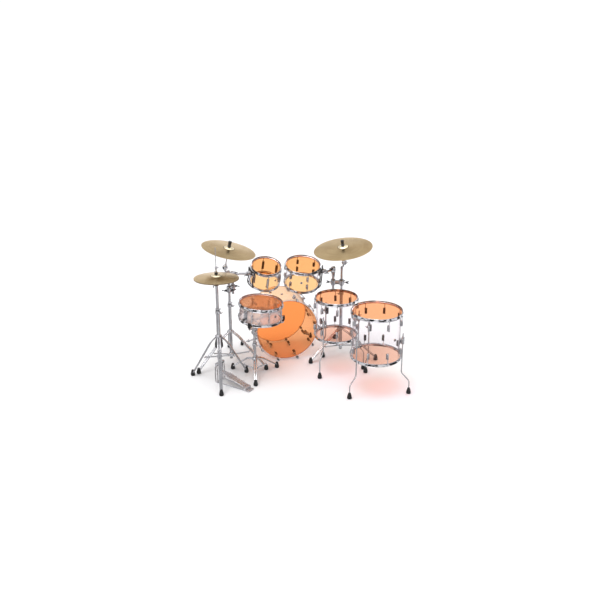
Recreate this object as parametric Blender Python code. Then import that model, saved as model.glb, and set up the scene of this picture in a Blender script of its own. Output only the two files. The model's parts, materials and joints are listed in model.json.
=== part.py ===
"""Acoustic drum kit: a bass drum, two rack toms, two floor toms and a snare with clear shells, hi-hat,
crash and ride cymbals, on chromed double-braced tripod stands. Metres, +Z up, the floor at z = 0. The
bass drum's axis is +Y, towards the audience, and the player sits on the -Y side."""

import math

import bmesh
import bpy
from mathutils import Matrix, Vector

INCH = 0.0254
KIT_SHIFT = Vector((-0.0357, 0.1026, 0.0))

RING = 20
SHELL_WALL = 0.006
ROD_OFFSET = 0.0145
FLANGE = 0.0185
LEG_OFFSET = 0.0255
LUG_HALF = 0.0105
RIM_RISE = 0.012

BASS_SIZE = (22 * INCH, 16 * INCH)
TOM10_SIZE = (10 * INCH, 7 * INCH)
TOM12_SIZE = (12 * INCH, 8 * INCH)
FLOOR14_SIZE = (14 * INCH, 14 * INCH)
FLOOR16_SIZE = (16 * INCH, 16 * INCH)
SNARE_SIZE = (14 * INCH, 5.5 * INCH)

BASS_AT = Vector((0.073, 0.168, 0.2978))
TOM12_HEAD = Vector((0.280, 0.383, 0.839))
TOM12_AXIS = Vector((0.0, -0.234, 0.972))
TOM10_HEAD = Vector((-0.075, 0.352, 0.869))
TOM10_AXIS = Vector((0.036, -0.333, 0.942))
FLOOR14_AT = Vector((0.445, -0.122, 0.3305))
FLOOR16_AT = Vector((0.652, -0.585, 0.313))
SNARE_HEAD = Vector((-0.233, -0.108, 0.704))
SNARE_AXIS = Vector((0.055, -0.035, 0.998))

CRASH_AT = Vector((-0.440, 0.227, 1.095))
CRASH_AXIS = Vector((0.211, -0.059, 0.976))
CRASH_DIAMETER = 19 * INCH
RIDE_AT = Vector((0.592, 0.155, 1.040))
RIDE_AXIS = Vector((-0.146, -0.038, 0.989))
RIDE_DIAMETER = 21 * INCH
HIHAT_DIAMETER = 15 * INCH
HIHAT_AXIS = Vector((0.020, 0.068, 0.9975))
HIHAT_GAP = 0.010

LEFT_STAND = Vector((-0.446, 0.229, 0.0))
RIGHT_STAND = Vector((0.584, 0.158, 0.0))
HIHAT_STAND = Vector((-0.610, -0.095, 0.0))
SNARE_STAND = Vector((-0.284, -0.043, 0.0))


def clear_scene():
    for obj in list(bpy.data.objects):
        bpy.data.objects.remove(obj, do_unlink=True)


def material(name, colour, roughness, metallic, alpha=1.0):
    made = bpy.data.materials.new(name)
    made.use_nodes = True
    shader = made.node_tree.nodes["Principled BSDF"]
    shader.inputs["Base Color"].default_value = (*colour, 1.0)
    shader.inputs["Roughness"].default_value = roughness
    shader.inputs["Metallic"].default_value = metallic
    shader.inputs["Alpha"].default_value = alpha
    return made


# Solids. Each is (points, faces) of one closed surface.


def lathe(profile, segments=RING, phase=0.0):
    """Turns a closed (radius, height) outline about +Z. Points at radius 0 become one point each."""
    points = []
    rings = []
    for radius, height in profile:
        if radius < 1e-7:
            rings.append([len(points)] * segments)
            points.append(Vector((0, 0, height)))
            continue
        rings.append([len(points) + i for i in range(segments)])
        for i in range(segments):
            angle = phase + 2 * math.pi * i / segments
            points.append(Vector((radius * math.cos(angle), radius * math.sin(angle), height)))
    faces = []
    for first, second in zip(rings, rings[1:] + rings[:1]):
        for i in range(segments):
            j = (i + 1) % segments
            corners = [first[i], first[j], second[j], second[i]]
            corner_set = list(dict.fromkeys(corners))
            if len(corner_set) > 2:
                faces.append(corner_set)
    return points, faces


def cylinder(radius, low, high, segments=8):
    return lathe([(0, low), (radius, low), (radius, high), (0, high)], segments)


def tube(outer, inner, low, high, segments=8):
    return lathe([(inner, low), (outer, low), (outer, high), (inner, high)], segments)


def block(low, high):
    points = [Vector((x, y, z)) for x in (low[0], high[0]) for y in (low[1], high[1]) for z in (low[2], high[2])]
    faces = [(0, 1, 3, 2), (4, 6, 7, 5), (0, 4, 5, 1), (2, 3, 7, 6), (0, 2, 6, 4), (1, 5, 7, 3)]
    return points, faces


def sweep(path, radius, sides=4, flat=1.0):
    """A capped bar of that radius along a path, squashed to flat across its own side direction."""
    path = [Vector(p) for p in path]
    points = []
    normal = None
    for i, here in enumerate(path):
        before = path[max(i - 1, 0)]
        after = path[min(i + 1, len(path) - 1)]
        along = (after - before).normalized()
        if normal is None:
            guess = Vector((0, 0, 1)) if abs(along.z) < 0.9 else Vector((1, 0, 0))
            normal = (guess - along * guess.dot(along)).normalized()
        normal = (normal - along * normal.dot(along)).normalized()
        side = along.cross(normal)
        bend = (after - here).angle(here - before) if 0 < i < len(path) - 1 else 0.0
        widen = 1.0 / math.cos(bend / 2)
        for k in range(sides):
            angle = 2 * math.pi * (k + 0.5) / sides
            points.append(
                here + normal * (radius * widen * math.cos(angle)) + side * (radius * flat * math.sin(angle))
            )
    faces = []
    for i in range(len(path) - 1):
        for k in range(sides):
            a = i * sides + k
            b = i * sides + (k + 1) % sides
            faces.append((a, b, b + sides, a + sides))
    faces.append(tuple(range(sides))[::-1])
    faces.append(tuple(len(points) - sides + k for k in range(sides)))
    return points, faces


def moved(solid, matrix):
    return [matrix @ p for p in solid[0]], solid[1]


def at(solid, place):
    return moved(solid, Matrix.Translation(Vector(place)))


def turned(solid, angle, axis="Z"):
    return moved(solid, Matrix.Rotation(angle, 4, axis))


def axis_frame(origin, axis):
    """A frame at origin whose +Z is axis and whose +X stays as near as it can to the row's +X."""
    up = Vector(axis).normalized()
    right = (Vector((1, 0, 0)) - up * up.x).normalized()
    back = up.cross(right)
    rows = Matrix((right, back, up)).transposed().to_4x4()
    return Matrix.Translation(Vector(origin)) @ rows


def mesh_object(name, solid):
    shape = bmesh.new()
    made = [shape.verts.new(p) for p in solid[0]]
    for face in solid[1]:
        shape.faces.new([made[i] for i in face])
    bmesh.ops.recalc_face_normals(shape, faces=shape.faces)
    mesh = bpy.data.meshes.new(name)
    shape.to_mesh(mesh)
    shape.free()
    obj = bpy.data.objects.new(name, mesh)
    bpy.context.scene.collection.objects.link(obj)
    return obj


def joined(obj, others):
    """One mesh holding the union of obj and the others, which are then removed."""
    group = bpy.data.collections.new(obj.name + "_pieces")
    bpy.context.scene.collection.children.link(group)
    for other in others:
        bpy.context.scene.collection.objects.unlink(other)
        group.objects.link(other)
    union = obj.modifiers.new("union", "BOOLEAN")
    union.operation = "UNION"
    union.operand_type = "COLLECTION"
    union.collection = group
    union.solver = "EXACT"
    bpy.context.view_layer.update()
    graph = bpy.context.evaluated_depsgraph_get()
    mesh = bpy.data.meshes.new_from_object(obj.evaluated_get(graph))
    obj.modifiers.clear()
    obj.data = mesh
    for other in others:
        bpy.data.objects.remove(other, do_unlink=True)
    bpy.data.collections.remove(group)


def node(name, solids, finish, origin=(0, 0, 0)):
    """One named piece: the union of its solids, with its origin at the given point."""
    origin = Vector(origin)
    parts = [mesh_object(f"{name}_{i}", at(s, KIT_SHIFT)) for i, s in enumerate(solids)]
    obj = parts[0]
    if len(parts) > 1:
        joined(obj, parts[1:])
    obj.name = name
    obj.data.name = name
    place = origin + KIT_SHIFT
    obj.data.transform(Matrix.Translation(-place))
    obj.location = place
    obj.data.materials.clear()
    obj.data.materials.append(finish)
    return obj


def radial(solid, radius, angle):
    """Puts a solid whose +X points outwards at that radius and angle."""
    return turned(at(solid, (radius, 0, 0)), angle)


def angles(count, first):
    return [math.radians(first) + 2 * math.pi * i / count for i in range(count)]


# Drums. A drum's own frame has its bottom bearing edge at z = 0 and its top one at z = depth.


def shell_ring(size):
    radius, depth = size[0] / 2, size[1]
    inner = radius - SHELL_WALL
    return lathe([(inner, 0), (radius, 0), (radius, depth), (inner, depth)])


def head_skin(size, top):
    """Film over the bearing edge and the flesh hoop that grips it, for the top or the bottom edge."""
    radius, depth = size[0] / 2, size[1]
    outline = [(0, 0.0014), (radius + 0.008, 0.0014), (radius + 0.008, -0.010)]
    outline += [(radius + 0.003, -0.010), (radius + 0.003, 0.0004), (0, 0.0004)]
    return lathe([(r, depth + z if top else -z) for r, z in outline])


def flanged_hoop(size, top):
    """Pressed steel counterhoop: an upright rim above the head and a flange that the rods pass through."""
    radius, depth = size[0] / 2, size[1]
    outline = [(radius + 0.009, -0.0155), (radius + FLANGE, -0.0155), (radius + FLANGE, -0.013)]
    outline += [(radius + 0.0112, -0.013), (radius + 0.0125, RIM_RISE), (radius + 0.009, RIM_RISE)]
    return lathe([(r, depth + z if top else -z) for r, z in outline])


def tension(size, top, lug_high, angle):
    """One tension rod at that angle, from its head over the hoop's flange into a lug that ends at lug_high."""
    radius, depth = size[0] / 2, size[1]
    rod = cylinder(0.0036, lug_high - 0.004, depth - 0.003, 4)
    if not top:
        flip = Matrix.Translation((0, 0, depth)) @ Matrix.Diagonal((1, 1, -1, 1))
        rod = moved(rod, flip)
    return [radial(rod, radius + ROD_OFFSET, angle)]


def lug_block(size, low, high, angle):
    lug = block((-0.0139, -LUG_HALF, low), (0.0054, LUG_HALF, high))
    return radial(lug, size[0] / 2 + ROD_OFFSET, angle)


def hoop_set(size, top, count, first, lug=(0.102, 0.050)):
    depth = size[1]
    solids = [flanged_hoop(size, top)]
    low, high = (depth - lug[0], depth - lug[1]) if top else (lug[1], lug[0])
    for angle in angles(count, first):
        solids += tension(size, top, depth - lug[1], angle)
        solids.append(lug_block(size, low, high, angle))
    return solids


def bridged_set(size, count, first, reach):
    """Both hoops and the long lugs that run between them, each taking a rod at either end."""
    depth = size[1]
    solids = [flanged_hoop(size, True), flanged_hoop(size, False)]
    for angle in angles(count, first):
        solids += tension(size, True, depth - reach, angle)
        solids += tension(size, False, depth - reach, angle)
        solids.append(lug_block(size, reach, depth - reach, angle))
    return solids


def placed(solids, frame):
    return [moved(s, frame) for s in solids]


def vertical_drum(name, size, base, lugs, first, finishes):
    frame = Matrix.Translation(base)
    node(name + "_batter_head", placed([head_skin(size, True)], frame), finishes["head"], base)
    node(name + "_bottom_head", placed([head_skin(size, False)], frame), finishes["clear_head"], base)
    node(name + "_batter_hoop", placed(hoop_set(size, True, lugs, first), frame), finishes["chrome"], base)
    node(name + "_bottom_hoop", placed(hoop_set(size, False, lugs, first), frame), finishes["chrome"], base)


def leg_bracket(size, height, angle):
    """Casting on a floor tom's shell with a bore for its leg."""
    radius = size[0] / 2
    body = block((-0.0285, -0.014, height - 0.03), (0.0125, 0.014, height + 0.03))
    return [radial(body, radius + LEG_OFFSET, angle)]


def bored(obj, bores):
    """Cuts the round holes of those (point, low, high, radius) from obj."""
    for i, (place, low, high, radius) in enumerate(bores):
        cutter = mesh_object(f"{obj.name}_bore{i}", at(cylinder(radius, low, high, 8), place + KIT_SHIFT))
        cut = obj.modifiers.new("bore", "BOOLEAN")
        cut.operation = "DIFFERENCE"
        cut.object = cutter
        cut.solver = "EXACT"
        bpy.context.view_layer.update()
        graph = bpy.context.evaluated_depsgraph_get()
        mesh = bpy.data.meshes.new_from_object(obj.evaluated_get(graph))
        obj.modifiers.clear()
        obj.data = mesh
        bpy.data.objects.remove(cutter, do_unlink=True)


def floor_tom(name, size, base, lugs, first, leg_angles, foot_radius, bend, finishes):
    vertical_drum(name, size, base, lugs, first, finishes)
    radius = size[0] / 2
    mid = 0.165
    solids = [shell_ring(size)]
    for angle in leg_angles:
        solids += leg_bracket(size, mid, math.radians(angle))
    shell = node(name + "_shell", placed(solids, Matrix.Translation(base)), finishes["acrylic"], base)
    bores = []
    for angle in leg_angles:
        turn = math.radians(angle)
        out = Vector((math.cos(turn), math.sin(turn), 0))
        bores.append((base + out * (radius + LEG_OFFSET), mid - 0.05, mid + 0.05, 0.0062))
    bored(shell, bores)
    for label, angle in zip("abc", leg_angles):
        turn = math.radians(angle)
        out = Vector((math.cos(turn), math.sin(turn), 0))
        axis = Vector((base.x, base.y, 0))
        upright = axis + out * (radius + LEG_OFFSET)
        foot = axis + out * foot_radius
        path = [upright + Vector((0, 0, base.z + mid + 0.07)), upright + Vector((0, 0, bend))]
        path += [foot + Vector((0, 0, bend - 0.065)), foot + Vector((0, 0, 0.03))]
        leg = sweep(path, 0.0052, 6)
        node(f"{name}_leg_{label}", [leg, at(rubber_foot(), foot)], finishes["chrome"], upright)


def rubber_foot():
    return lathe([(0, 0), (0.0185, 0), (0.0185, 0.022), (0.0095, 0.055), (0, 0.055)], 8)


def wooden_hoop(size, top):
    radius, depth = size[0] / 2, size[1]
    outline = [(radius + 0.0095, -0.016), (radius + 0.0175, -0.016)]
    outline += [(radius + 0.0175, 0.0225), (radius + 0.0095, 0.0225)]
    return lathe([(r, depth + z if top else -z) for r, z in outline])


def claw(size, top, angle):
    """A claw over a bass drum hoop, its rod, and the lug on the shell that the rod screws into."""
    radius, depth = size[0] / 2, size[1]
    hook = block((-0.0120, -0.011, depth + 0.0205), (0.006, 0.011, depth + 0.026))
    back = block((-0.0072, -0.0105, depth - 0.0137), (0.0055, 0.0105, depth + 0.024))
    rod = cylinder(0.0040, depth - 0.085, depth - 0.008, 4)
    lug = block((-0.0214, -0.011, depth - 0.125), (0.008, 0.011, depth - 0.075))
    solids = [hook, back, rod, lug]
    if not top:
        flip = Matrix.Translation((0, 0, depth)) @ Matrix.Diagonal((1, 1, -1, 1))
        solids = [moved(s, flip) for s in solids]
    return [radial(s, radius + 0.022, angle) for s in solids]


def bass_drum(finishes):
    size = BASS_SIZE
    radius = size[0] / 2
    # The drum's own +Z is the row's -Y, so that its top is the batter side and its own +X is the row's +X.
    frame = Matrix.Translation(BASS_AT + Vector((0, size[1], 0))) @ Matrix.Rotation(math.radians(90), 4, "X")
    node("bass_batter_head", placed([head_skin(size, True)], frame), finishes["head"], BASS_AT)
    node("bass_front_head", placed([head_skin(size, False)], frame), finishes["clear_head"], BASS_AT)
    for name, top in (("bass_batter_hoop", True), ("bass_front_hoop", False)):
        solids = [wooden_hoop(size, top)]
        for angle in angles(10, 18 - 90):
            solids += claw(size, top, angle)
        node(name, placed(solids, frame), finishes["chrome"], BASS_AT)
    solids = [moved(shell_ring(size), frame)]
    spurs = []
    for side in (-1, 1):
        drop = math.radians(33)
        out = Vector((side * math.cos(drop), 0, -math.sin(drop)))
        seat = BASS_AT + Vector((0, size[1] * 0.60, 0)) + out * (radius + 0.006)
        turn = axis_frame(seat, out)
        solids.append(moved(cylinder(0.022, -0.009, 0.008), turn))
        pivot = seat + out * 0.019
        solids.append(moved(cylinder(0.008, 0.004, 0.0205, 8), turn))
        spurs.append((side, out, pivot))
    node("bass_shell", solids, finishes["acrylic"], BASS_AT)
    for side, out, pivot in spurs:
        foot = Vector((BASS_AT.x + side * 0.345, 0.592, 0))
        knuckle = moved(tube(0.017, 0.0088, -0.008, 0.012, 12), axis_frame(pivot, out))
        reach = foot + Vector((0, 0, 0.02)) - pivot
        start = pivot + reach.normalized() * 0.0125 + out * 0.002
        rod = sweep([start, foot + Vector((0, 0, 0.022))], 0.0055, 8)
        name = "bass_spur_left" if side < 0 else "bass_spur_right"
        node(name, [knuckle, rod, at(spur_tip(), foot)], finishes["chrome"], pivot)


def spur_tip():
    return lathe([(0, 0), (0.0130, 0), (0.0130, 0.020), (0.009, 0.032), (0, 0.032)], 8)


def rack_tom_heads(name, size, frame, origin, finishes):
    node(name + "_shell", placed([shell_ring(size)], frame), finishes["acrylic"], origin)
    node(name + "_batter_head", placed([head_skin(size, True)], frame), finishes["head"], origin)
    node(name + "_bottom_head", placed([head_skin(size, False)], frame), finishes["clear_head"], origin)


def tom_frame(head, axis, size):
    return axis_frame(head - axis.normalized() * size[1], axis)


def suspension(size, angle, low, high, boss_at):
    """A curved hanger that hugs a rack tom outside its lugs, with a boss that takes the arm."""
    radius = size[0] / 2
    inner = radius + 0.0275
    outline = [(inner, low), (inner + 0.006, low), (inner + 0.006, high), (inner, high)]
    band = lathe(outline, 48)
    keep = block((0, -0.055, low - 0.01), (inner + 0.03, 0.055, high + 0.01))
    boss = block((inner + 0.003, -0.018, boss_at - 0.020), (inner + 0.026, 0.018, boss_at + 0.020))
    return [turned(s, angle) for s in (band, keep, boss)]


def rack_mount(name, size, frame, angle, heights, finishes, origin):
    """The hanger band is what its ring and a box share, joined to its boss."""
    band, keep, boss = [moved(s, frame) for s in suspension(size, angle, *heights)]
    ring = mesh_object(name + "_ring", at(band, KIT_SHIFT))
    box = mesh_object(name + "_box", at(keep, KIT_SHIFT))
    cut = ring.modifiers.new("keep", "BOOLEAN")
    cut.operation = "INTERSECT"
    cut.object = box
    cut.solver = "EXACT"
    bpy.context.view_layer.update()
    graph = bpy.context.evaluated_depsgraph_get()
    mesh = bpy.data.meshes.new_from_object(ring.evaluated_get(graph))
    points = [v.co - KIT_SHIFT for v in mesh.vertices]
    faces = [tuple(p.vertices) for p in mesh.polygons]
    bpy.data.objects.remove(ring, do_unlink=True)
    bpy.data.objects.remove(box, do_unlink=True)
    node(name, [(points, faces), boss], finishes["black_plastic"], origin)


def finish_set():
    return {
        "acrylic": material("clear_acrylic", (0.90, 0.89, 0.92), 0.08, 0.0, 0.35),
        "head": material("orange_film", (0.95, 0.48, 0.16), 0.45, 0.0),
        "snare_head": material("amber_film", (0.80, 0.42, 0.16), 0.5, 0.0),
        "clear_head": material("pale_film", (0.95, 0.72, 0.45), 0.3, 0.0, 0.6),
        "chrome": material("chrome", (0.80, 0.80, 0.82), 0.12, 1.0),
        "black_plastic": material("black_plastic", (0.03, 0.03, 0.03), 0.45, 0.0),
        "bronze": material("bronze", (0.75, 0.60, 0.36), 0.3, 1.0),
        "steel": material("steel", (0.62, 0.62, 0.64), 0.3, 1.0),
    }


# Stands. A tripod is a collar on its tube, three two-rail legs on rubber feet, and braces to a lower collar.


def polar(radius, angle, height=0.0):
    return Vector((radius * math.cos(angle), radius * math.sin(angle), height))


def tripod(centre, hub, low_hub, foot_radius, foot_angles, bow, bore):
    """The solids of a double-braced tripod round a tube of radius bore, its feet at those angles."""
    solids = [at(tube(0.024, bore - 0.002, hub - 0.014, hub + 0.014), centre)]
    solids.append(at(tube(0.022, bore - 0.002, low_hub - 0.010, low_hub + 0.010), centre))
    for degrees in foot_angles:
        turn = math.radians(degrees)
        across = polar(0.0085, turn + math.pi / 2)
        foot = centre + polar(foot_radius, turn)
        shoulder = centre + polar(0.075, turn, hub - 0.012 - bow * 0.2)
        for side in (-1, 1):
            path = [centre + polar(0.019, turn, hub) + across * side, shoulder + across * side]
            path.append(centre + polar(foot_radius - 0.012, turn, 0.040) + across * side * 0.5)
            solids.append(sweep(path, 0.0052))
        solids.append(at(rubber_foot(), foot))
        joint = centre + polar(foot_radius * 0.52, turn, (hub - 0.02) * 0.50)
        solids.append(sweep([joint - across * 1.5, joint + across * 1.5], 0.0065))
        brace = [centre + polar(0.018, turn, low_hub), joint]
        solids.append(sweep(brace, 0.0058))
    return solids


def open_tube(centre, outer, inner, low, high, sides=8):
    """A tube that is closed at its foot and open at its top."""
    outline = [(0, low), (outer, low), (outer, high), (inner, high), (inner, low + 0.012), (0, low + 0.012)]
    return at(lathe(outline, sides), centre)


def cymbal_outline(diameter, thickness=0.0014):
    """Bell, flare and bow from the hole to the edge, along the top and back along the underside."""
    edge = diameter / 2
    top = [(0.0068, 0.0322), (0.032, 0.0268), (0.050, 0.0168), (edge * 0.62, 0.0096), (edge, 0.0)]
    under = [(r, z - thickness) for r, z in reversed(top)]
    return under + top


def cymbal(name, centre, axis, diameter, finish, flip=False):
    outline = [(r, -z if flip else z) for r, z in cymbal_outline(diameter)]
    solid = moved(lathe(outline), axis_frame(centre, axis))
    return node(name, [solid], finish, centre)


def cymbal_stand(name, centre, foot_angles, heights, cymbal_at, axis, reach, finishes):
    """Base, post with the fixed half of the tilter, and the tilting half with its rod, felts and nut."""
    base = [open_tube(centre, 0.0145, 0.0119, 0.060, heights["collar"])]
    base += tripod(centre, heights["hub"], heights["low_hub"], 0.351, foot_angles, 0.1, 0.0145)
    base.append(at(tube(0.0195, 0.0126, heights["collar"] - 0.026, heights["collar"] - 0.001), centre))
    base.append(wing_bolt(centre + Vector((0, 0, heights["collar"] - 0.014)), 0.0155, 0.035, foot_angles[0], 0.006))
    node(name + "_base", base, finishes["chrome"], centre)
    up = axis.normalized()
    lean = Vector((up.x, up.y, 0)).normalized()
    hinge = Vector((-lean.y, lean.x, 0))
    pivot = cymbal_at - up * reach - hinge * 0.0068
    head = centre + Vector((0, 0, pivot.z - 0.034))
    fixed = cylinder(0.018, -0.0135, -0.0005, 16)
    turn = axis_frame(pivot, hinge)
    link = pivot - hinge * 0.0108
    post = [at(cylinder(0.0108, 0.36, head.z, 12), centre), moved(fixed, turn)]
    post.append(sweep([head - Vector((0, 0, 0.010)), link - Vector((0, 0, 0.033)), link], 0.0085, 8))
    moving = [moved(cylinder(0.018, 0.0005, 0.0130, 16), turn)]
    frame = axis_frame(cymbal_at, axis)
    stem = [(0, 0.012 - reach), (0.0042, 0.012 - reach), (0.0042, 0.012), (0.0125, 0.012), (0.0125, 0.0280)]
    stem += [(0.0048, 0.0280), (0.0048, 0.0334), (0.016, 0.0334), (0.016, 0.046), (0.0135, 0.047)]
    stem += [(0.0160, 0.080), (0, 0.080)]
    moving.append(moved(lathe(stem, 10), frame))
    return post, moving, pivot, hinge


def wing_bolt(place, start, reach, degrees, half):
    """A small square bar, such as a wing bolt, standing out from a tube at that angle."""
    bar = block((start, -half, -half), (reach, half, half))
    return at(turned(bar, math.radians(degrees)), place)


def arm_clamp(post_at, arm_at, height):
    """A clamp from a post to the upright tube of a tom arm, open round that tube."""
    gap = arm_at - post_at
    turn = math.atan2(gap.y, gap.x)
    ring = at(tube(0.0195, 0.0108, height - 0.020, height + 0.020), arm_at)
    web = block((0.0, -0.013, height - 0.016), (gap.length - 0.0128, 0.013, height + 0.016))
    wing = wing_bolt(post_at + Vector((0, 0, height)), 0.008, 0.050, math.degrees(turn) + 180, 0.008)
    return [ring, at(turned(web, turn), post_at), wing]


def tom_arm(name, arm_at, low, high, target, finish):
    """Upright tube through the clamp, bent over at its top towards the tom's hanger."""
    elbow = Vector((arm_at.x, arm_at.y, high))
    face, out = target
    turn = face + out * 0.034
    towards = (turn - elbow).normalized()
    path = [Vector((arm_at.x, arm_at.y, low)), elbow - Vector((0, 0, 0.040)), elbow - Vector((0, 0, 0.018))]
    path += [elbow + towards * 0.018, turn, face + out * 0.0008]
    return node(name, [sweep(path, 0.0094, 12)], finish, Vector((arm_at.x, arm_at.y, low)))


def rack_toms(finishes):
    """Both rack toms on their hangers. Returns the outer face of each hanger's boss."""
    targets = []
    frame = tom_frame(TOM12_HEAD, TOM12_AXIS, TOM12_SIZE)
    origin = frame.translation
    rack_tom_heads("tom12", TOM12_SIZE, frame, origin, finishes)
    for name, top in (("tom12_batter_hoop", True), ("tom12_bottom_hoop", False)):
        hoops = hoop_set(TOM12_SIZE, top, 6, 32.2, lug=(0.084, 0.040))
        node(name, placed(hoops, frame), finishes["chrome"], origin)
    turn = math.radians(-30)
    rack_mount("tom12_mount", TOM12_SIZE, frame, turn, (0.020, 0.206, 0.186), finishes, origin)
    targets.append(boss_face(frame, TOM12_SIZE, turn, 0.186))
    frame = tom_frame(TOM10_HEAD, TOM10_AXIS, TOM10_SIZE)
    origin = frame.translation
    rack_tom_heads("tom10", TOM10_SIZE, frame, origin, finishes)
    hoops = bridged_set(TOM10_SIZE, 6, 27, 0.045)
    node("tom10_hoops", placed(hoops, frame), finishes["chrome"], origin)
    turn = math.radians(196)
    rack_mount("tom10_mount", TOM10_SIZE, frame, turn, (0.010, 0.175, 0.155), finishes, origin)
    targets.append(boss_face(frame, TOM10_SIZE, turn, 0.155))
    return targets


def boss_face(frame, size, turn, height):
    """The centre of a hanger boss's outer face, and the way that it faces."""
    spin = Matrix.Rotation(turn, 4, "Z")
    place = frame @ (spin @ Vector((size[0] / 2 + 0.0535, 0, height)))
    return place, (frame.to_3x3() @ (spin.to_3x3() @ Vector((1, 0, 0)))).normalized()


def stands(targets, finishes):
    left_arm = LEFT_STAND + Vector((0.040, 0.032, 0))
    right_arm = RIGHT_STAND + Vector((-0.072, 0.027, 0))
    heights = {"hub": 0.321, "low_hub": 0.095, "collar": 0.587}
    post, moving, pivot, _ = cymbal_stand(
        "crash_stand", LEFT_STAND, (-37.8, -157.8, 82.2), heights, CRASH_AT, CRASH_AXIS, 0.160, finishes
    )
    post += arm_clamp(LEFT_STAND, left_arm, 0.730)
    node("crash_stand_post", post, finishes["chrome"], LEFT_STAND)
    node("crash_tilter", moving, finishes["chrome"], pivot)
    cymbal("crash_cymbal", CRASH_AT, CRASH_AXIS, CRASH_DIAMETER, finishes["bronze"])
    tom_arm("tom10_arm", left_arm, 0.672, 0.860, targets[1], finishes["chrome"])
    heights = {"hub": 0.262, "low_hub": 0.092, "collar": 0.625}
    post, moving, pivot, _ = cymbal_stand(
        "ride_stand", RIGHT_STAND, (-158.9, -38.9, 81.1), heights, RIDE_AT, RIDE_AXIS, 0.135, finishes
    )
    post += arm_clamp(RIGHT_STAND, right_arm, 0.718)
    node("ride_stand_post", post, finishes["chrome"], RIGHT_STAND)
    node("ride_tilter", moving, finishes["chrome"], pivot)
    cymbal("ride_cymbal", RIDE_AT, RIDE_AXIS, RIDE_DIAMETER, finishes["bronze"])
    tom_arm("tom12_arm", right_arm, 0.656, 0.847, targets[0], finishes["chrome"])


def hihat(finishes):
    centre = HIHAT_STAND
    base = [at(tube(0.0170, 0.0136, 0.165, 0.670, 12), centre)]
    base += tripod(centre, 0.429, 0.235, 0.2765, (-98.4, 21.6, 141.6), 0.25, 0.0170)
    base.append(at(tube(0.0215, 0.0145, 0.640, 0.668), centre))
    base.append(wing_bolt(centre + Vector((0, 0, 0.654)), 0.0175, 0.040, -50, 0.006))
    skirt = [(0.0155, 0.330), (0.0290, 0.333), (0.0310, 0.345), (0.0215, 0.410), (0.0155, 0.411)]
    base.append(at(lathe(skirt, 8), centre))
    base += pedal_frame(centre)
    node("hihat_base", base, finishes["chrome"], centre)
    upper = tube(0.0122, 0.0060, 0.50, 0.8985, 12)
    seat = tube(0.0190, 0.0064, 0.8965, 0.9195, 12)
    node("hihat_tube", [at(upper, centre), at(seat, centre)], finishes["chrome"], centre)
    lean = Vector((HIHAT_AXIS.x, HIHAT_AXIS.y, 0)) * 0.0315
    bottom = centre + Vector((0, 0, 0.955)) + lean
    cymbal("hihat_bottom_cymbal", bottom, HIHAT_AXIS, HIHAT_DIAMETER, finishes["bronze"], flip=True)
    top = centre + Vector((0, 0, 0.955 + HIHAT_GAP)) - lean
    cymbal("hihat_top_cymbal", top, HIHAT_AXIS, HIHAT_DIAMETER, finishes["bronze"])
    node("hihat_rod", [at(cylinder(0.0032, 0.175, 1.232, 8), centre)], finishes["chrome"], centre)
    low = top.z
    clutch = [(0.0038, low + 0.010), (0.010, low + 0.010), (0.010, low + 0.026), (0.0052, low + 0.026)]
    clutch += [(0.0052, low + 0.0365), (0.014, low + 0.0365), (0.014, low + 0.047), (0.009, low + 0.048)]
    clutch += [(0.009, low + 0.100), (0.0038, low + 0.100)]
    wing = wing_bolt(centre + Vector((0, 0, low + 0.090)), 0.007, 0.032, 15, 0.004)
    node("hihat_clutch", [at(lathe(clutch, 12), centre), wing], finishes["chrome"], centre)
    footboard(centre, finishes)


PEDAL_ANGLE = math.radians(-50)
PEDAL_HEEL = 0.300
PEDAL_PIVOT = 0.024
PEDAL_TOE = 0.098


def pedal_frame(centre):
    """Side plates that hold the tube over the pedal, a foot bar, and rails to the heel plate."""
    solids = []
    for side in (-1, 1):
        ends = sorted((side * 0.0155, side * 0.052))
        solids.append(block((-0.012, ends[0], 0.163), (0.012, ends[1], 0.188)))
        solids.append(block((-0.013, side * 0.048 - 0.004, 0.0), (0.013, side * 0.048 + 0.004, 0.186)))
        solids.append(sweep([(0.0, side * 0.044, 0.006), (PEDAL_HEEL - 0.005, side * 0.030, 0.006)], 0.0045, 6))
    solids.append(block((-0.010, -0.050, 0.0), (0.010, 0.050, 0.010)))
    solids.append(block((PEDAL_HEEL - 0.012, -0.036, 0.0), (PEDAL_HEEL + 0.045, 0.036, 0.012)))
    for side in (-1, 1):
        low = (PEDAL_HEEL - 0.012, side * 0.0325 - 0.0035, 0.008)
        solids.append(block(low, (PEDAL_HEEL + 0.012, side * 0.0325 + 0.0035, PEDAL_PIVOT + 0.010)))
    return [at(turned(s, PEDAL_ANGLE), centre) for s in solids]


def footboard(centre, finishes):
    rise = math.atan2(PEDAL_TOE - PEDAL_PIVOT, PEDAL_HEEL - 0.025)
    length = (PEDAL_HEEL - 0.025) / math.cos(rise)
    board = block((-length, -0.036, 0.003), (-0.016, 0.036, 0.009))
    tongue = block((-0.020, -0.027, 0.003), (0.002, 0.027, 0.009))
    knuckle = moved(cylinder(0.0062, -0.0283, 0.0283, 10), Matrix.Rotation(math.radians(90), 4, "X"))
    solids = [at(turned(s, rise, "Y"), (PEDAL_HEEL, 0, PEDAL_PIVOT)) for s in (board, tongue, knuckle)]
    solids = [at(turned(s, PEDAL_ANGLE), centre) for s in solids]
    pivot = centre + polar(PEDAL_HEEL, PEDAL_ANGLE, PEDAL_PIVOT)
    node("hihat_footboard", solids, finishes["steel"], pivot)


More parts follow.
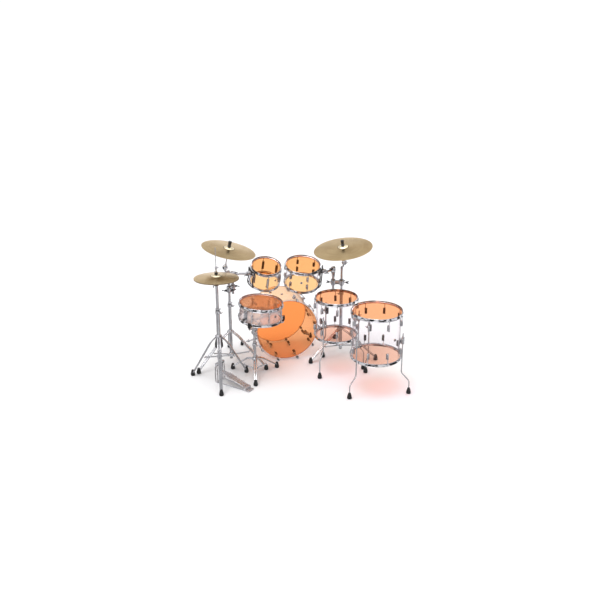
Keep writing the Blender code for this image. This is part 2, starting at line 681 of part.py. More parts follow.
def snare(finishes):
    size = SNARE_SIZE
    radius, depth = size[0] / 2, size[1]
    frame = tom_frame(SNARE_HEAD, SNARE_AXIS, size)
    origin = frame.translation
    solids = [shell_ring(size)]
    strainer = math.radians(-148)
    plate = block((radius - 0.004, -0.017, 0.020), (radius + 0.016, 0.017, 0.118))
    solids.append(turned(plate, strainer))
    butt = block((radius - 0.004, -0.015, 0.030), (radius + 0.013, 0.015, 0.085))
    solids.append(turned(butt, strainer + math.pi))
    node("snare_shell", placed(solids, frame), finishes["acrylic"], origin)
    node("snare_batter_head", placed([head_skin(size, True)], frame), finishes["snare_head"], origin)
    node("snare_bottom_head", placed([head_skin(size, False)], frame), finishes["clear_head"], origin)
    node("snare_hoops", placed(bridged_set(size, 8, 9.4, 0.040), frame), finishes["chrome"], origin)
    wires = turned(block((-0.165, -0.021, -0.0045), (0.165, 0.021, -0.0022)), strainer)
    node("snare_wires", placed([wires], frame), finishes["steel"], origin)
    pin = frame @ polar(radius + 0.0203, strainer, 0.1015)
    lever = [block((radius + 0.0165, -0.006, 0.040), (radius + 0.024, 0.006, 0.103))]
    lever.append(block((radius + 0.020, -0.009, 0.030), (radius + 0.032, 0.009, 0.043)))
    lever = [turned(s, strainer) for s in lever]
    node("snare_strainer_lever", placed(lever, frame), finishes["chrome"], pin)
    snare_stand(frame, radius, finishes)


def snare_stand(frame, radius, finishes):
    centre = SNARE_STAND
    base = [open_tube(centre, 0.0135, 0.0108, 0.040, 0.300)]
    base += tripod(centre, 0.150, 0.054, 0.231, (-101.5, 18.5, 138.5), -0.02, 0.0135)
    base.append(at(tube(0.0195, 0.0116, 0.272, 0.299), centre))
    base.append(wing_bolt(centre + Vector((0, 0, 0.286)), 0.0150, 0.038, -60, 0.006))
    node("snare_stand_base", base, finishes["chrome"], centre)
    post = [at(cylinder(0.0098, 0.110, 0.396, 12), centre)]
    pivot = centre + Vector((0, 0, 0.430))
    lean = Vector((0.039, -0.057, 0)).normalized()
    hinge = Vector((-lean.y, lean.x, 0))
    turn = axis_frame(pivot, hinge)
    post.append(moved(cylinder(0.017, -0.0135, -0.0005), turn))
    link = pivot - hinge * 0.0108
    post.append(sweep([centre + Vector((0, 0, 0.386)), link - Vector((0, 0, 0.033)), link], 0.0085, 8))
    node("snare_stand_post", post, finishes["chrome"], centre)
    hub = frame @ Vector((0, 0, -0.075))
    solids = [moved(cylinder(0.017, 0.0005, 0.0130), turn)]
    solids.append(sweep([pivot + hinge * 0.0108, hub], 0.0085, 8))
    solids.append(moved(cylinder(0.021, -0.088, -0.060, 12), frame))
    for degrees in (-130.6, -10.6, 109.4):
        angle = math.radians(degrees)
        path = [polar(0.012, angle, -0.072), polar(radius * 0.62, angle, -0.056)]
        path += [polar(radius + 0.0225, angle, -0.040), polar(radius + 0.0265, angle, -0.020)]
        solids.append(moved(sweep(path, 0.0055, 6), frame))
        grip = block((radius + 0.0195, -0.013, -0.030), (radius + 0.034, 0.013, 0.026))
        shelf = block((radius + 0.008, -0.013, -0.030), (radius + 0.024, 0.013, -0.0128))
        solids += [moved(turned(grip, angle), frame), moved(turned(shelf, angle), frame)]
    node("snare_basket", solids, finishes["black_plastic"], pivot)


def main():
    clear_scene()
    finishes = finish_set()
    bass_drum(finishes)
    targets = rack_toms(finishes)
    floor_tom("floor14", FLOOR14_SIZE, FLOOR14_AT, 8, 29.7, (219.3, 339.3, 99.3), 0.254, 0.235, finishes)
    floor_tom("floor16", FLOOR16_SIZE, FLOOR16_AT, 8, 6.6, (205.1, 325.1, 85.1), 0.300, 0.185, finishes)
    snare(finishes)
    hihat(finishes)
    stands(targets, finishes)


main()
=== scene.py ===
"""Looks of the acoustic drum kit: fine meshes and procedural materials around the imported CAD, with the
studio floor, lights and camera. Metres, +Z up. Kit coordinates plus SHIFT give the row frame."""

import json
import math

import bmesh
import bpy
from mathutils import Matrix, Vector


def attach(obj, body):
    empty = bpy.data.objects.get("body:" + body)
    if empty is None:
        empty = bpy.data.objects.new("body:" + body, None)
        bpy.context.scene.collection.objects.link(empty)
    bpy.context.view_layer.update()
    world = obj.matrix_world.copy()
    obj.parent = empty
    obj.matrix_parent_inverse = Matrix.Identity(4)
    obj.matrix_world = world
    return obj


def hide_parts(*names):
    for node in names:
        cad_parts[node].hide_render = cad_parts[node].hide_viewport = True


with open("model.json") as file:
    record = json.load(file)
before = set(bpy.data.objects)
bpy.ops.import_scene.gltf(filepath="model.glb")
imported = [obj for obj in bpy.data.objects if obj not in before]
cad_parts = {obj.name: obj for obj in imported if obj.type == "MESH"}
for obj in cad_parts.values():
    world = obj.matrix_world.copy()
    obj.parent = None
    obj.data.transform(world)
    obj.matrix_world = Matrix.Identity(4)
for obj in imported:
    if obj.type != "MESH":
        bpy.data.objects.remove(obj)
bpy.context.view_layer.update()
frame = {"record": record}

INCH = 0.0254
SHIFT = Vector((-0.0357, 0.1026, 0.0))
BODY_OF = {n: b for b, ns in frame["record"]["behaviour"]["bodies"].items() for n in ns}

BASS_SIZE = (22 * INCH, 16 * INCH)
TOM10_SIZE = (10 * INCH, 7 * INCH)
TOM12_SIZE = (12 * INCH, 8 * INCH)
FLOOR14_SIZE = (14 * INCH, 14 * INCH)
FLOOR16_SIZE = (16 * INCH, 16 * INCH)
SNARE_SIZE = (14 * INCH, 5.5 * INCH)
BASS_AT = Vector((0.073, 0.168, 0.2978))
TOM12_HEAD, TOM12_AXIS = Vector((0.28, 0.383, 0.839)), Vector((0.0, -0.234, 0.972))
TOM10_HEAD, TOM10_AXIS = Vector((-0.075, 0.352, 0.869)), Vector((0.036, -0.333, 0.942))
SNARE_HEAD, SNARE_AXIS = Vector((-0.233, -0.108, 0.704)), Vector((0.055, -0.035, 0.998))
FLOOR14_AT = Vector((0.445, -0.122, 0.3305))
FLOOR16_AT = Vector((0.652, -0.585, 0.313))
CRASH_AT, CRASH_AXIS = Vector((-0.44, 0.227, 1.095)), Vector((0.211, -0.059, 0.976))
RIDE_AT, RIDE_AXIS = Vector((0.592, 0.155, 1.04)), Vector((-0.146, -0.038, 0.989))
CRASH_DIAMETER, RIDE_DIAMETER = 19 * INCH, 21 * INCH
HIHAT_DIAMETER, HIHAT_AXIS, HIHAT_GAP = 15 * INCH, Vector((0.02, 0.068, 0.9975)), 0.01
LEFT_STAND, RIGHT_STAND = Vector((-0.446, 0.229, 0.0)), Vector((0.584, 0.158, 0.0))
HIHAT_STAND, SNARE_STAND = Vector((-0.61, -0.095, 0.0)), Vector((-0.284, -0.043, 0.0))

WALL = 0.006
# How far outside the shell a tension rod and a floor tom's leg stand.
ROD = 0.0145
LEG = 0.0255
# Half the width of a rack tom's strap, and how far its boss stands out.
STRAP_HALF = 0.055
BOSS_REACH = 0.0535
# Sides of a drum's round parts.
ROUND = 96
QUARTER_X = Matrix.Rotation(math.radians(90), 4, "X")
QUARTER_Y = Matrix.Rotation(math.radians(90), 4, "Y")

# Camera and studio


def make_camera():
    turn, pitch = 0.2715, 0.375
    right = Vector((math.cos(turn), -math.sin(turn), 0))
    up = Vector((math.sin(pitch) * math.sin(turn), math.sin(pitch) * math.cos(turn), math.cos(pitch)))
    basis = Matrix((right, up, right.cross(up))).transposed().to_4x4()
    data = bpy.data.cameras.new("camera")
    data.lens, data.sensor_width = 48.66, 36.0
    data.clip_end = 1500.0
    camera = bpy.data.objects.new("camera", data)
    camera.matrix_world = Matrix.Translation((-1.6857, -6.3474, 3.285)) @ basis
    bpy.context.scene.collection.objects.link(camera)
    bpy.context.scene.camera = camera


def node_of(tree, kind, **values):
    made = tree.nodes.new("ShaderNode" + kind)
    for key, value in values.items():
        setattr(made, key, value)
    return made


def remap(tree, value, source=(0, 1), target=(0, 1), **settings):
    """The value carried from one range to another."""
    node = node_of(tree, "MapRange", **settings)
    for name, number in zip(("From Min", "From Max", "To Min", "To Max"), (*source, *target)):
        node.inputs[name].default_value = number
    tree.links.new(value, node.inputs["Value"])
    return node.outputs["Result"]


def calculate(tree, operation, *values):
    """A Math node's result. Each value is a number or another node's output."""
    node = node_of(tree, "Math", operation=operation)
    for socket, value in zip(node.inputs, values):
        if isinstance(value, (int, float)):
            socket.default_value = value
        else:
            tree.links.new(value, socket)
    return node.outputs[0]


def make_world():
    """A white studio overhead, and a room of soft light and dark patches below for chrome to mirror."""
    world = bpy.data.worlds.new("studio")
    bpy.context.scene.world = world
    world.use_nodes = True
    tree = world.node_tree
    background = tree.nodes["Background"]
    coordinate = node_of(tree, "TexCoord")
    split = node_of(tree, "SeparateXYZ")
    tree.links.new(coordinate.outputs["Generated"], split.inputs[0])
    ramp = node_of(tree, "ValToRGB")
    stops = (
        (0.0, 0.6), (0.4, 0.8), (0.5, 1.05), (0.585, 1.0), (0.66, 0.72), (0.76, 0.42), (0.86, 0.75),
        (1.0, 1.8)
    )
    while len(ramp.color_ramp.elements) < len(stops):
        ramp.color_ramp.elements.new(0.5)
    for element, (place, grey) in zip(ramp.color_ramp.elements, stops):
        element.position = place
        element.color = (grey, grey, grey * 1.01, 1.0)
    tree.links.new(remap(tree, split.outputs["Z"], (-1, 1)), ramp.inputs["Fac"])
    patches = node_of(tree, "TexNoise")
    patches.inputs["Scale"].default_value = 2.6
    patches.inputs["Detail"].default_value = 1.0
    tree.links.new(coordinate.outputs["Generated"], patches.inputs["Vector"])
    contrast = remap(tree, patches.outputs["Fac"], (0.46, 0.56), (0.02, 1.45))
    below = remap(tree, split.outputs["Z"], (-0.01, -0.08))
    amount = node_of(tree, "Mix", data_type="FLOAT")
    amount.inputs[2].default_value = 1.0
    tree.links.new(below, amount.inputs[0])
    tree.links.new(contrast, amount.inputs[3])
    lit = node_of(tree, "VectorMath", operation="SCALE")
    tree.links.new(ramp.outputs["Color"], lit.inputs[0])
    tree.links.new(amount.outputs[0], lit.inputs["Scale"])
    tree.links.new(lit.outputs["Vector"], background.inputs["Color"])


def make_light(name, kind, place, target, energy, size=1.0, colour=(1, 1, 1)):
    data = bpy.data.lights.new(name, kind)
    data.energy = energy
    data.color = colour
    if kind == "AREA":
        data.shape, data.size = "DISK", size
    else:
        data.angle = size
    lamp = bpy.data.objects.new(name, data)
    lamp.location = place
    lamp.rotation_mode = "QUATERNION"
    lamp.rotation_quaternion = (Vector(target) - Vector(place)).to_track_quat("-Z", "Y")
    bpy.context.scene.collection.objects.link(lamp)


def make_studio():
    make_world()
    make_light("sun", "SUN", (-1.2, -0.6, 5.0), (0, 0, 0), 1.05, math.radians(34))
    make_light("key", "AREA", (-3.0, -2.6, 3.4), (0, 0, 0.6), 28, 1.6)
    make_light("rim", "AREA", (3.2, 2.4, 2.6), (0, 0, 0.6), 20, 1.2)
    shape = bmesh.new()
    bmesh.ops.create_grid(shape, x_segments=8, y_segments=8, size=600.0)
    mesh = bpy.data.meshes.new("floor")
    shape.to_mesh(mesh)
    shape.free()
    floor = bpy.data.objects.new("floor", mesh)
    bpy.context.scene.collection.objects.link(floor)
    made, tree, shader = new_material("studio_floor")
    # Painted light: the pink pools of light that the heads tint under three drums are painted into the
    # floor's colour.
    ground = node_of(tree, "TexCoord")
    painted_glow = None
    glow_spots = [(FLOOR16_AT + Vector((0.06, -0.05, 0)), 0.48, 1.0)]
    glow_spots += [(FLOOR14_AT + Vector((-0.06, -0.1, 0)), 0.46, 1.0), (BASS_AT, 0.62, 0.5)]
    for spot, reach, strength in glow_spots:
        off = node_of(tree, "VectorMath", operation="DISTANCE")
        off.inputs[1].default_value = (spot.x, spot.y, 0)
        tree.links.new(ground.outputs["Object"], off.inputs[0])
        fade = (reach, reach * 0.25)
        glow_patch = remap(tree, off.outputs["Value"], fade, (0, strength), interpolation_type="SMOOTHSTEP")
        painted_glow = glow_patch if painted_glow is None else calculate(tree, "MAXIMUM", painted_glow, glow_patch)
    # The floor's colour turns pink inside the painted glow, as painted light.
    tree.links.new(
        two_colours(tree, painted_glow, (0.86, 0.86, 0.87), (0.93, 0.835, 0.87)), shader.inputs["Base Color"]
    )
    shader.inputs["Roughness"].default_value = 0.55
    shader.inputs["Specular IOR Level"].default_value = 0.12
    floor.data.materials.append(made)
    floor.visible_glossy = False
    scene = bpy.context.scene
    scene.view_settings.view_transform = "Standard"
    scene.cycles.transparent_max_bounces = 64
    scene.cycles.max_bounces = 10
    scene.cycles.use_denoising = True


# Materials. Patterns run in each piece's own coordinates.


def new_material(name):
    made = bpy.data.materials.new(name)
    made.use_nodes = True
    return made, made.node_tree, made.node_tree.nodes["Principled BSDF"]


def noise(tree, scale, low, high, detail=3.0, stretch=(1, 1, 1)):
    """A noise value between low and high in the piece's own coordinates."""
    coordinate = node_of(tree, "TexCoord")
    mapping = node_of(tree, "Mapping")
    mapping.inputs["Scale"].default_value = stretch
    texture = node_of(tree, "TexNoise")
    texture.inputs["Scale"].default_value = scale
    texture.inputs["Detail"].default_value = detail
    tree.links.new(coordinate.outputs["Object"], mapping.inputs["Vector"])
    tree.links.new(mapping.outputs["Vector"], texture.inputs["Vector"])
    return remap(tree, texture.outputs["Fac"], (0.3, 0.7), (low, high))


def two_colours(tree, value, first, second):
    """A blend from first to second, each a colour or another node's output."""
    mix = node_of(tree, "Mix", data_type="RGBA")
    tree.links.new(value, mix.inputs[0])
    for socket, colour in ((mix.inputs[6], first), (mix.inputs[7], second)):
        if isinstance(colour, tuple):
            socket.default_value = (*colour, 1)
        else:
            tree.links.new(colour, socket)
    return mix.outputs[2]


def bump(tree, shader, height, strength, distance):
    node = node_of(tree, "Bump")
    node.inputs["Strength"].default_value = strength
    node.inputs["Distance"].default_value = distance
    tree.links.new(height, node.inputs["Height"])
    tree.links.new(node.outputs["Normal"], shader.inputs["Normal"])


def metal(name, first, second, rough, grain=(60, 0.15, 0.0002), stretch=(1, 1, 1)):
    made, tree, shader = new_material(name)
    tint = noise(tree, 14, 0, 1)
    tree.links.new(two_colours(tree, tint, first, second), shader.inputs["Base Color"])
    tree.links.new(noise(tree, 35, *rough, 5.0), shader.inputs["Roughness"])
    shader.inputs["Metallic"].default_value = 1.0
    scale, strength, distance = grain
    bump(tree, shader, noise(tree, scale, 0, 1, 4.0, stretch), strength, distance)
    return made


def dull(name, first, second, rough, grain, sheen=0.0):
    made, tree, shader = new_material(name)
    tint = noise(tree, 45, 0, 1, 5.0)
    tree.links.new(two_colours(tree, tint, first, second), shader.inputs["Base Color"])
    tree.links.new(noise(tree, 70, *rough, 4.0), shader.inputs["Roughness"])
    shader.inputs["Sheen Weight"].default_value = sheen
    scale, strength, distance = grain
    bump(tree, shader, noise(tree, scale, 0, 1, 6.0), strength, distance)
    return made


def clear_layer(name, tint, edge_tint, haze, body, gloss, grain):
    """A see-through layer. tint is what one face lets through head on, edge_tint at a grazing angle."""
    made, tree, shader = new_material(name)
    output = tree.nodes["Material Output"]
    tone = noise(tree, 9, 0.94, 1.06)
    shade = node_of(tree, "VectorMath", operation="SCALE")
    shade.inputs[0].default_value = haze
    tree.links.new(tone, shade.inputs["Scale"])
    tree.links.new(shade.outputs["Vector"], shader.inputs["Base Color"])
    tree.links.new(noise(tree, 40, *gloss, 5.0), shader.inputs["Roughness"])
    bump(tree, shader, noise(tree, grain[0], 0, 1, 3.0), grain[1], grain[2])
    facing = node_of(tree, "LayerWeight")
    facing.inputs["Blend"].default_value = 0.5
    grazing = calculate(tree, "POWER", facing.outputs["Facing"], 8.0)
    through = node_of(tree, "BsdfTransparent")
    tree.links.new(two_colours(tree, grazing, tint, edge_tint), through.inputs["Color"])
    cover = remap(tree, grazing, (0, 1), body)
    mix = node_of(tree, "MixShader")
    tree.links.new(calculate(tree, "MULTIPLY", cover, noise(tree, 22, 0.85, 1.15, 4.0)), mix.inputs[0])
    tree.links.new(through.outputs[0], mix.inputs[1])
    tree.links.new(shader.outputs[0], mix.inputs[2])
    tree.links.new(mix.outputs[0], output.inputs["Surface"])
    return made


def bronze():
    """Lathed and hammered cymbal bronze: fine rings round the cymbal's own axis and shallow dents."""
    made, tree, shader = new_material("cymbal_bronze")
    coordinate = node_of(tree, "TexCoord")
    flat = node_of(tree, "VectorMath", operation="MULTIPLY")
    flat.inputs[1].default_value = (1, 1, 0)
    radius = node_of(tree, "VectorMath", operation="LENGTH")
    tree.links.new(coordinate.outputs["Object"], flat.inputs[0])
    tree.links.new(flat.outputs["Vector"], radius.inputs[0])
    rings = node_of(tree, "TexNoise", noise_dimensions="1D")
    rings.inputs["Scale"].default_value = 900.0
    rings.inputs["Detail"].default_value = 4.0
    tree.links.new(radius.outputs["Value"], rings.inputs["W"])
    broad = node_of(tree, "TexNoise", noise_dimensions="1D")
    broad.inputs["Scale"].default_value = 95.0
    tree.links.new(radius.outputs["Value"], broad.inputs["W"])
    ring_tone = calculate(tree, "MULTIPLY_ADD", broad.outputs["Fac"], 0.55, noise(tree, 7, -0.05, 0.45))
    body = two_colours(tree, ring_tone, (0.88, 0.67, 0.37), (0.5, 0.32, 0.13))
    bell = remap(tree, radius.outputs["Value"], (0.0475, 0.045))
    polished = two_colours(tree, bell, body, (1.0, 0.87, 0.6))
    # A darker ring at the foot of the bell.
    from_groove = calculate(tree, "SUBTRACT", radius.outputs["Value"], 0.05)
    groove = remap(tree, calculate(tree, "ABSOLUTE", from_groove), (0.0025, 0.005))
    bell_foot_ring = two_colours(tree, groove, (0.3, 0.19, 0.08), polished)
    tree.links.new(bell_foot_ring, shader.inputs["Base Color"])
    rough = remap(tree, rings.outputs["Fac"], (0, 1), (0.2, 0.34))
    tree.links.new(rough, shader.inputs["Roughness"])
    shader.inputs["Metallic"].default_value = 1.0
    shader.inputs["Anisotropic"].default_value = 0.55
    tangent = node_of(tree, "Tangent", direction_type="RADIAL", axis="Z")
    tree.links.new(tangent.outputs[0], shader.inputs["Tangent"])
    dents = calculate(tree, "MULTIPLY_ADD", rings.outputs["Fac"], 0.35, noise(tree, 38, 0, 1, 1.0))
    bump(tree, shader, dents, 0.25, 0.0006)
    return made


def make_finishes():
    """Name to (material, slot of the record)."""
    film, cover, gloss = (130, 0.1, 0.0003), (0.015, 0.3), (0.12, 0.24)
    orange = clear_layer(
        "orange_head", (0.975, 0.685, 0.42), (0.88, 0.55, 0.3), (0.93, 0.48, 0.2), cover, gloss, film
    )
    deep = clear_layer(
        "deep_orange_head", (0.985, 0.68, 0.455), (0.88, 0.5, 0.28), (0.93, 0.44, 0.18), cover, gloss,
        film
    )
    peach = clear_layer(
        "peach_head", (0.975, 0.675, 0.475), (0.88, 0.55, 0.38), (0.93, 0.5, 0.3), cover, gloss, film
    )
    rose = clear_layer(
        "rose_head", (0.955, 0.755, 0.655), (0.88, 0.62, 0.5), (0.94, 0.56, 0.42), cover, gloss, film
    )
    pale = clear_layer(
        "pale_head", (0.99, 0.775, 0.52), (0.92, 0.64, 0.38), (0.96, 0.62, 0.36), cover, gloss, film
    )
    front = clear_layer(
        "front_head", (0.995, 0.82, 0.65), (0.94, 0.68, 0.5), (0.97, 0.62, 0.42), cover, gloss, film
    )
    clear = clear_layer(
        "clear_head", (0.985, 0.965, 0.955), (0.86, 0.82, 0.82), (0.9, 0.86, 0.86), (0.1, 0.35), gloss,
        film
    )
    amber = clear_layer(
        "amber_head", (0.975, 0.715, 0.53), (0.82, 0.48, 0.3), (0.82, 0.42, 0.22), (0.05, 0.3),
        (0.22, 0.36), (420, 0.25, 0.0003)
    )
    wall, haze, ripple = (0.5, 0.47, 0.51), (0.86, 0.84, 0.89), (18, 0.06, 0.0008)
    acrylic = clear_layer(
        "clear_acrylic", (0.985, 0.978, 0.984), wall, haze, (0.015, 0.55), (0.03, 0.09), ripple
    )
    frosted = clear_layer(
        "snare_acrylic", (0.97, 0.95, 0.95), wall, (0.78, 0.72, 0.73), (0.34, 0.62), (0.1, 0.22), ripple
    )
    chrome = metal("polished_chrome", (0.68, 0.68, 0.7), (0.55, 0.54, 0.57), (0.04, 0.12))
    satin = metal("satin_steel", (0.74, 0.72, 0.73), (0.6, 0.57, 0.59), (0.22, 0.38), (240, 0.3, 0.0003))
    alloy = metal(
        "brushed_aluminium", (0.86, 0.85, 0.86), (0.74, 0.73, 0.75), (0.18, 0.3), (300, 0.2, 0.0002)
    )
    rubber = dull(
        "black_rubber", (0.005, 0.005, 0.006), (0.014, 0.013, 0.014), (0.5, 0.7), (260, 0.4, 0.0004)
    )
    plastic = dull(
        "moulded_black", (0.012, 0.011, 0.012), (0.026, 0.025, 0.027), (0.28, 0.42), (180, 0.25, 0.0003)
    )
    felt = dull(
        "grey_felt", (0.035, 0.033, 0.032), (0.085, 0.08, 0.076), (0.85, 1.0), (900, 0.8, 0.0008), 0.4
    )
    return {
        "orange": (orange, "orange_film"),
        "deep": (deep, "orange_film"),
        "peach": (peach, "orange_film"),
        "rose": (rose, "orange_film"),
        "front": (front, "pale_film"),
        "clear": (clear, "pale_film"),
        "frosted": (frosted, "clear_acrylic"),
        "pale": (pale, "pale_film"),
        "amber": (amber, "amber_film"),
        "acrylic": (acrylic, "clear_acrylic"),
        "chrome": (chrome, "chrome"),
        "satin": (satin, "steel"),
        "alloy": (alloy, "chrome"),
        "rubber": (rubber, "black_plastic"),
        "plastic": (plastic, "black_plastic"),
        "felt": (felt, "black_plastic"),
        "bronze": (bronze(), "bronze"),
    }


# Solids. Each is (points, faces) of one closed surface.


def lathe(profile, segments=32, phase=0.0):
    points, rings = [], []
    for radius, height in profile:
        if radius < 1e-7:
            rings.append([len(points)] * segments)
            points.append(Vector((0, 0, height)))
            continue
        rings.append([len(points) + i for i in range(segments)])
        for i in range(segments):
            angle = phase + 2 * math.pi * i / segments
            points.append(Vector((radius * math.cos(angle), radius * math.sin(angle), height)))
    faces = []
    for first, second in zip(rings, rings[1:] + rings[:1]):
        for i in range(segments):
            j = (i + 1) % segments
            corners = list(dict.fromkeys([first[i], first[j], second[j], second[i]]))
            if len(corners) > 2:
                faces.append(corners)
    return points, faces


def rod(radius, low, high, edge=0.0006, segments=20):
    """A round bar with broken edges."""
    edge = min(edge, radius * 0.4, abs(high - low) * 0.3)
    outline = [
        (0, low), (radius - edge, low), (radius, low + edge), (radius, high - edge),
        (radius - edge, high), (0, high)
    ]
    return lathe(outline, segments)


def ring(outer, inner, low, high, edge=0.0006, segments=32):
    edge = min(edge, (outer - inner) * 0.3, (high - low) * 0.3)
    outline = [(inner, low + edge), (inner + edge, low), (outer - edge, low), (outer, low + edge)]
    outline += [(outer, high - edge), (outer - edge, high), (inner + edge, high), (inner, high - edge)]
    return lathe(outline, segments)


def rounded(low, high, bevel=0.002, segments=2):
    """A block with rounded edges."""
    size = [b - a for a, b in zip(low, high)]
    shape = bmesh.new()
    bmesh.ops.create_cube(shape, size=1.0)
    for vert in shape.verts:
        vert.co = Vector([a + (c + 0.5) * s for a, c, s in zip(low, vert.co, size)])
    bevel = min(bevel, min(size) * 0.45)
    bmesh.ops.bevel(
        shape, geom=shape.edges[:], offset=bevel, segments=segments, profile=0.5, affect="EDGES"
    )
    shape.verts.index_update()
    points = [v.co.copy() for v in shape.verts]
    faces = [tuple(v.index for v in f.verts) for f in shape.faces]
    shape.free()
    return points, faces


def fillet(points, radius, steps=6):
    """The polyline with its corners rounded."""
    points = [Vector(p) for p in points]
    made = [points[0]]
    for before, corner, after in zip(points, points[1:], points[2:]):
        into, out = before - corner, after - corner
        reach = min(radius, into.length * 0.48, out.length * 0.48)
        first, last = corner + into.normalized() * reach, corner + out.normalized() * reach
        for i in range(steps + 1):
            t = i / steps
            made.append(first * (1 - t) ** 2 + corner * (2 * t * (1 - t)) + last * t * t)
    made.append(points[-1])
    return made


def sweep(path, radius, sides=12, flat=1.0, guess=None):
    """A capped bar along a path. flat squashes it across its own side direction."""
    path = [Vector(p) for p in path]
    points = []
    normal = None
    for i, here in enumerate(path):
        along = (path[min(i + 1, len(path) - 1)] - path[max(i - 1, 0)]).normalized()
        if normal is None:
            away = (0, 0, 1) if abs(along.z) < 0.9 else (1, 0, 0)
            normal = Vector(away if guess is None else guess)
        normal = (normal - along * normal.dot(along)).normalized()
        side = along.cross(normal)
        size = radius[i] if isinstance(radius, (list, tuple)) else radius
        for k in range(sides):
            angle = 2 * math.pi * (k + 0.5) / sides
            points.append(
                here + normal * (size * math.cos(angle)) + side * (size * flat * math.sin(angle))
            )
    faces = []
    for i in range(len(path) - 1):
        for k in range(sides):
            a, b = i * sides + k, i * sides + (k + 1) % sides
            faces.append((a, b, b + sides, a + sides))
    faces.append(tuple(range(sides))[::-1])
    faces.append(tuple(len(points) - sides + k for k in range(sides)))
    return points, faces


def moved(solid, matrix):
    return [matrix @ p for p in solid[0]], solid[1]


def at(solid, place):
    return moved(solid, Matrix.Translation(Vector(place)))


def turned(solid, angle, axis="Z"):
    return moved(solid, Matrix.Rotation(angle, 4, axis))


def axis_frame(origin, axis):
    up = Vector(axis).normalized()
    right = (Vector((1, 0, 0)) - up * up.x).normalized() if abs(up.x) < 0.99 else Vector((0, 1, 0))
    rows = Matrix((right, up.cross(right), up)).transposed().to_4x4()
    return Matrix.Translation(Vector(origin)) @ rows


def tom_frame(head, axis, size):
    return axis_frame(head - axis.normalized() * size[1], axis)


def radial(solid, radius, angle):
    return turned(at(solid, (radius, 0, 0)), angle)


def polar(radius, angle, height=0.0):
    return Vector((radius * math.cos(angle), radius * math.sin(angle), height))


def angles(count, first):
    return [math.radians(first) + 2 * math.pi * i / count for i in range(count)]


def mesh_of(name, solids):
    points, faces = [], []
    for solid in solids:
        start = len(points)
        points += solid[0]
        faces += [tuple(i + start for i in f) for f in solid[1]]
    mesh = bpy.data.meshes.new(name)
    mesh.from_pydata(points, [], faces)
    shape = bmesh.new()
    shape.from_mesh(mesh)
    bmesh.ops.recalc_face_normals(shape, faces=shape.faces)
    shape.to_mesh(mesh)
    shape.free()
    mesh.shade_smooth()
    mesh.set_sharp_from_angle(angle=math.radians(32))
    return mesh


def pieces(node, groups, place=None):
    """One piece for each finish in groups, riding with the CAD node that it stands for."""
    for finish, solids in groups.items():
        if not solids:
            continue
        name = f"{node}_{finish}"
        obj = bpy.data.objects.new(name, mesh_of(name, solids))
        bpy.context.scene.collection.objects.link(obj)
        obj.matrix_world = Matrix.Translation(SHIFT) @ (place or Matrix.Identity(4))
        obj.data.materials.append(FINISHES[finish][0])
        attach(obj, BODY_OF[node])
        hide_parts(node)


def flip(solid, depth):
    """Mirrors a solid at a drum's top to its bottom."""
    return moved(solid, Matrix.Translation((0, 0, depth)) @ Matrix.Diagonal((1, 1, -1, 1)))


# Hardware that repeats


def wing(place, axis, barrel, span, thick=0.0055, tip=0.0075):
    """A wing nut or bolt at a place, its barrel along axis and its two ears across."""
    turn = axis_frame(place, axis)
    ears = []
    for side in (-1, 1):
        path = fillet(
            [
                (0, 0, barrel * 0.55), (side * span * 0.35, 0, barrel * 0.8),
                (side * span * 0.5, 0, barrel * 1.15)
            ],
            0.004
        )
        ears.append(
            sweep(
                path, [thick * 0.5 + (tip - thick) * 0.5 * i / (len(path) - 1) for i in range(len(path))],
                10, 0.6
            )
        )
    hub = lathe(
        [(0, 0), (thick, 0), (thick * 1.15, barrel * 0.3), (thick * 0.85, barrel), (0, barrel)], 18
    )
    return [moved(s, turn) for s in [hub] + ears]


def drum_key_rod(low, edge):
    """A threaded rod with its washer and square head. edge is the hoop flange that the head bears on."""
    thread = []
    steps = max(4, int((edge - low) / 0.0016))
    for i in range(steps):
        z = low + (edge - low) * i / steps
        thread += [(0.0028, z), (0.0031, z + 0.0008)]
    shaft = lathe([(0, low)] + thread + [(0.003, edge + 0.004), (0, edge + 0.004)], 12)
    washer = ring(0.0068, 0.002, edge, edge + 0.0012, 0.0003, 20)
    collar = rod(0.0052, edge + 0.0012, edge + 0.006, 0.0006, 20)
    head = rounded((-0.0029, -0.0029, edge + 0.0055), (0.0029, 0.0029, edge + 0.0135), 0.0005)
    return [shaft, collar, head], [washer]


def hoop_profile(size):
    radius, depth = size[0] / 2, size[1]
    outline = [(0.0092, -0.015), (0.009, 0.0102), (0.0093, 0.0114), (0.0102, 0.0121), (0.0114, 0.0121)]
    outline += [(0.0124, 0.0114), (0.0126, 0.0102), (0.0116, 0.0092), (0.0113, -0.01), (0.012, -0.0122)]
    outline += [
        (0.014, -0.0132), (0.0178, -0.0134), (0.0186, -0.0144), (0.0178, -0.0155), (0.01, -0.0155)
    ]
    return [(radius + r, depth + z) for r, z in outline]


def flanged(size, top, count, first):
    """A triple-flanged hoop with an ear at each rod."""
    depth = size[1]
    solids = [lathe(hoop_profile(size), ROUND)]
    for angle in angles(count, first):
        solids.append(
            radial(
                ring(0.0088, 0.0036, depth - 0.0158, depth - 0.013, 0.0006, 18), size[0] / 2 + ROD, angle
            )
        )
    return solids if top else [flip(s, depth) for s in solids]


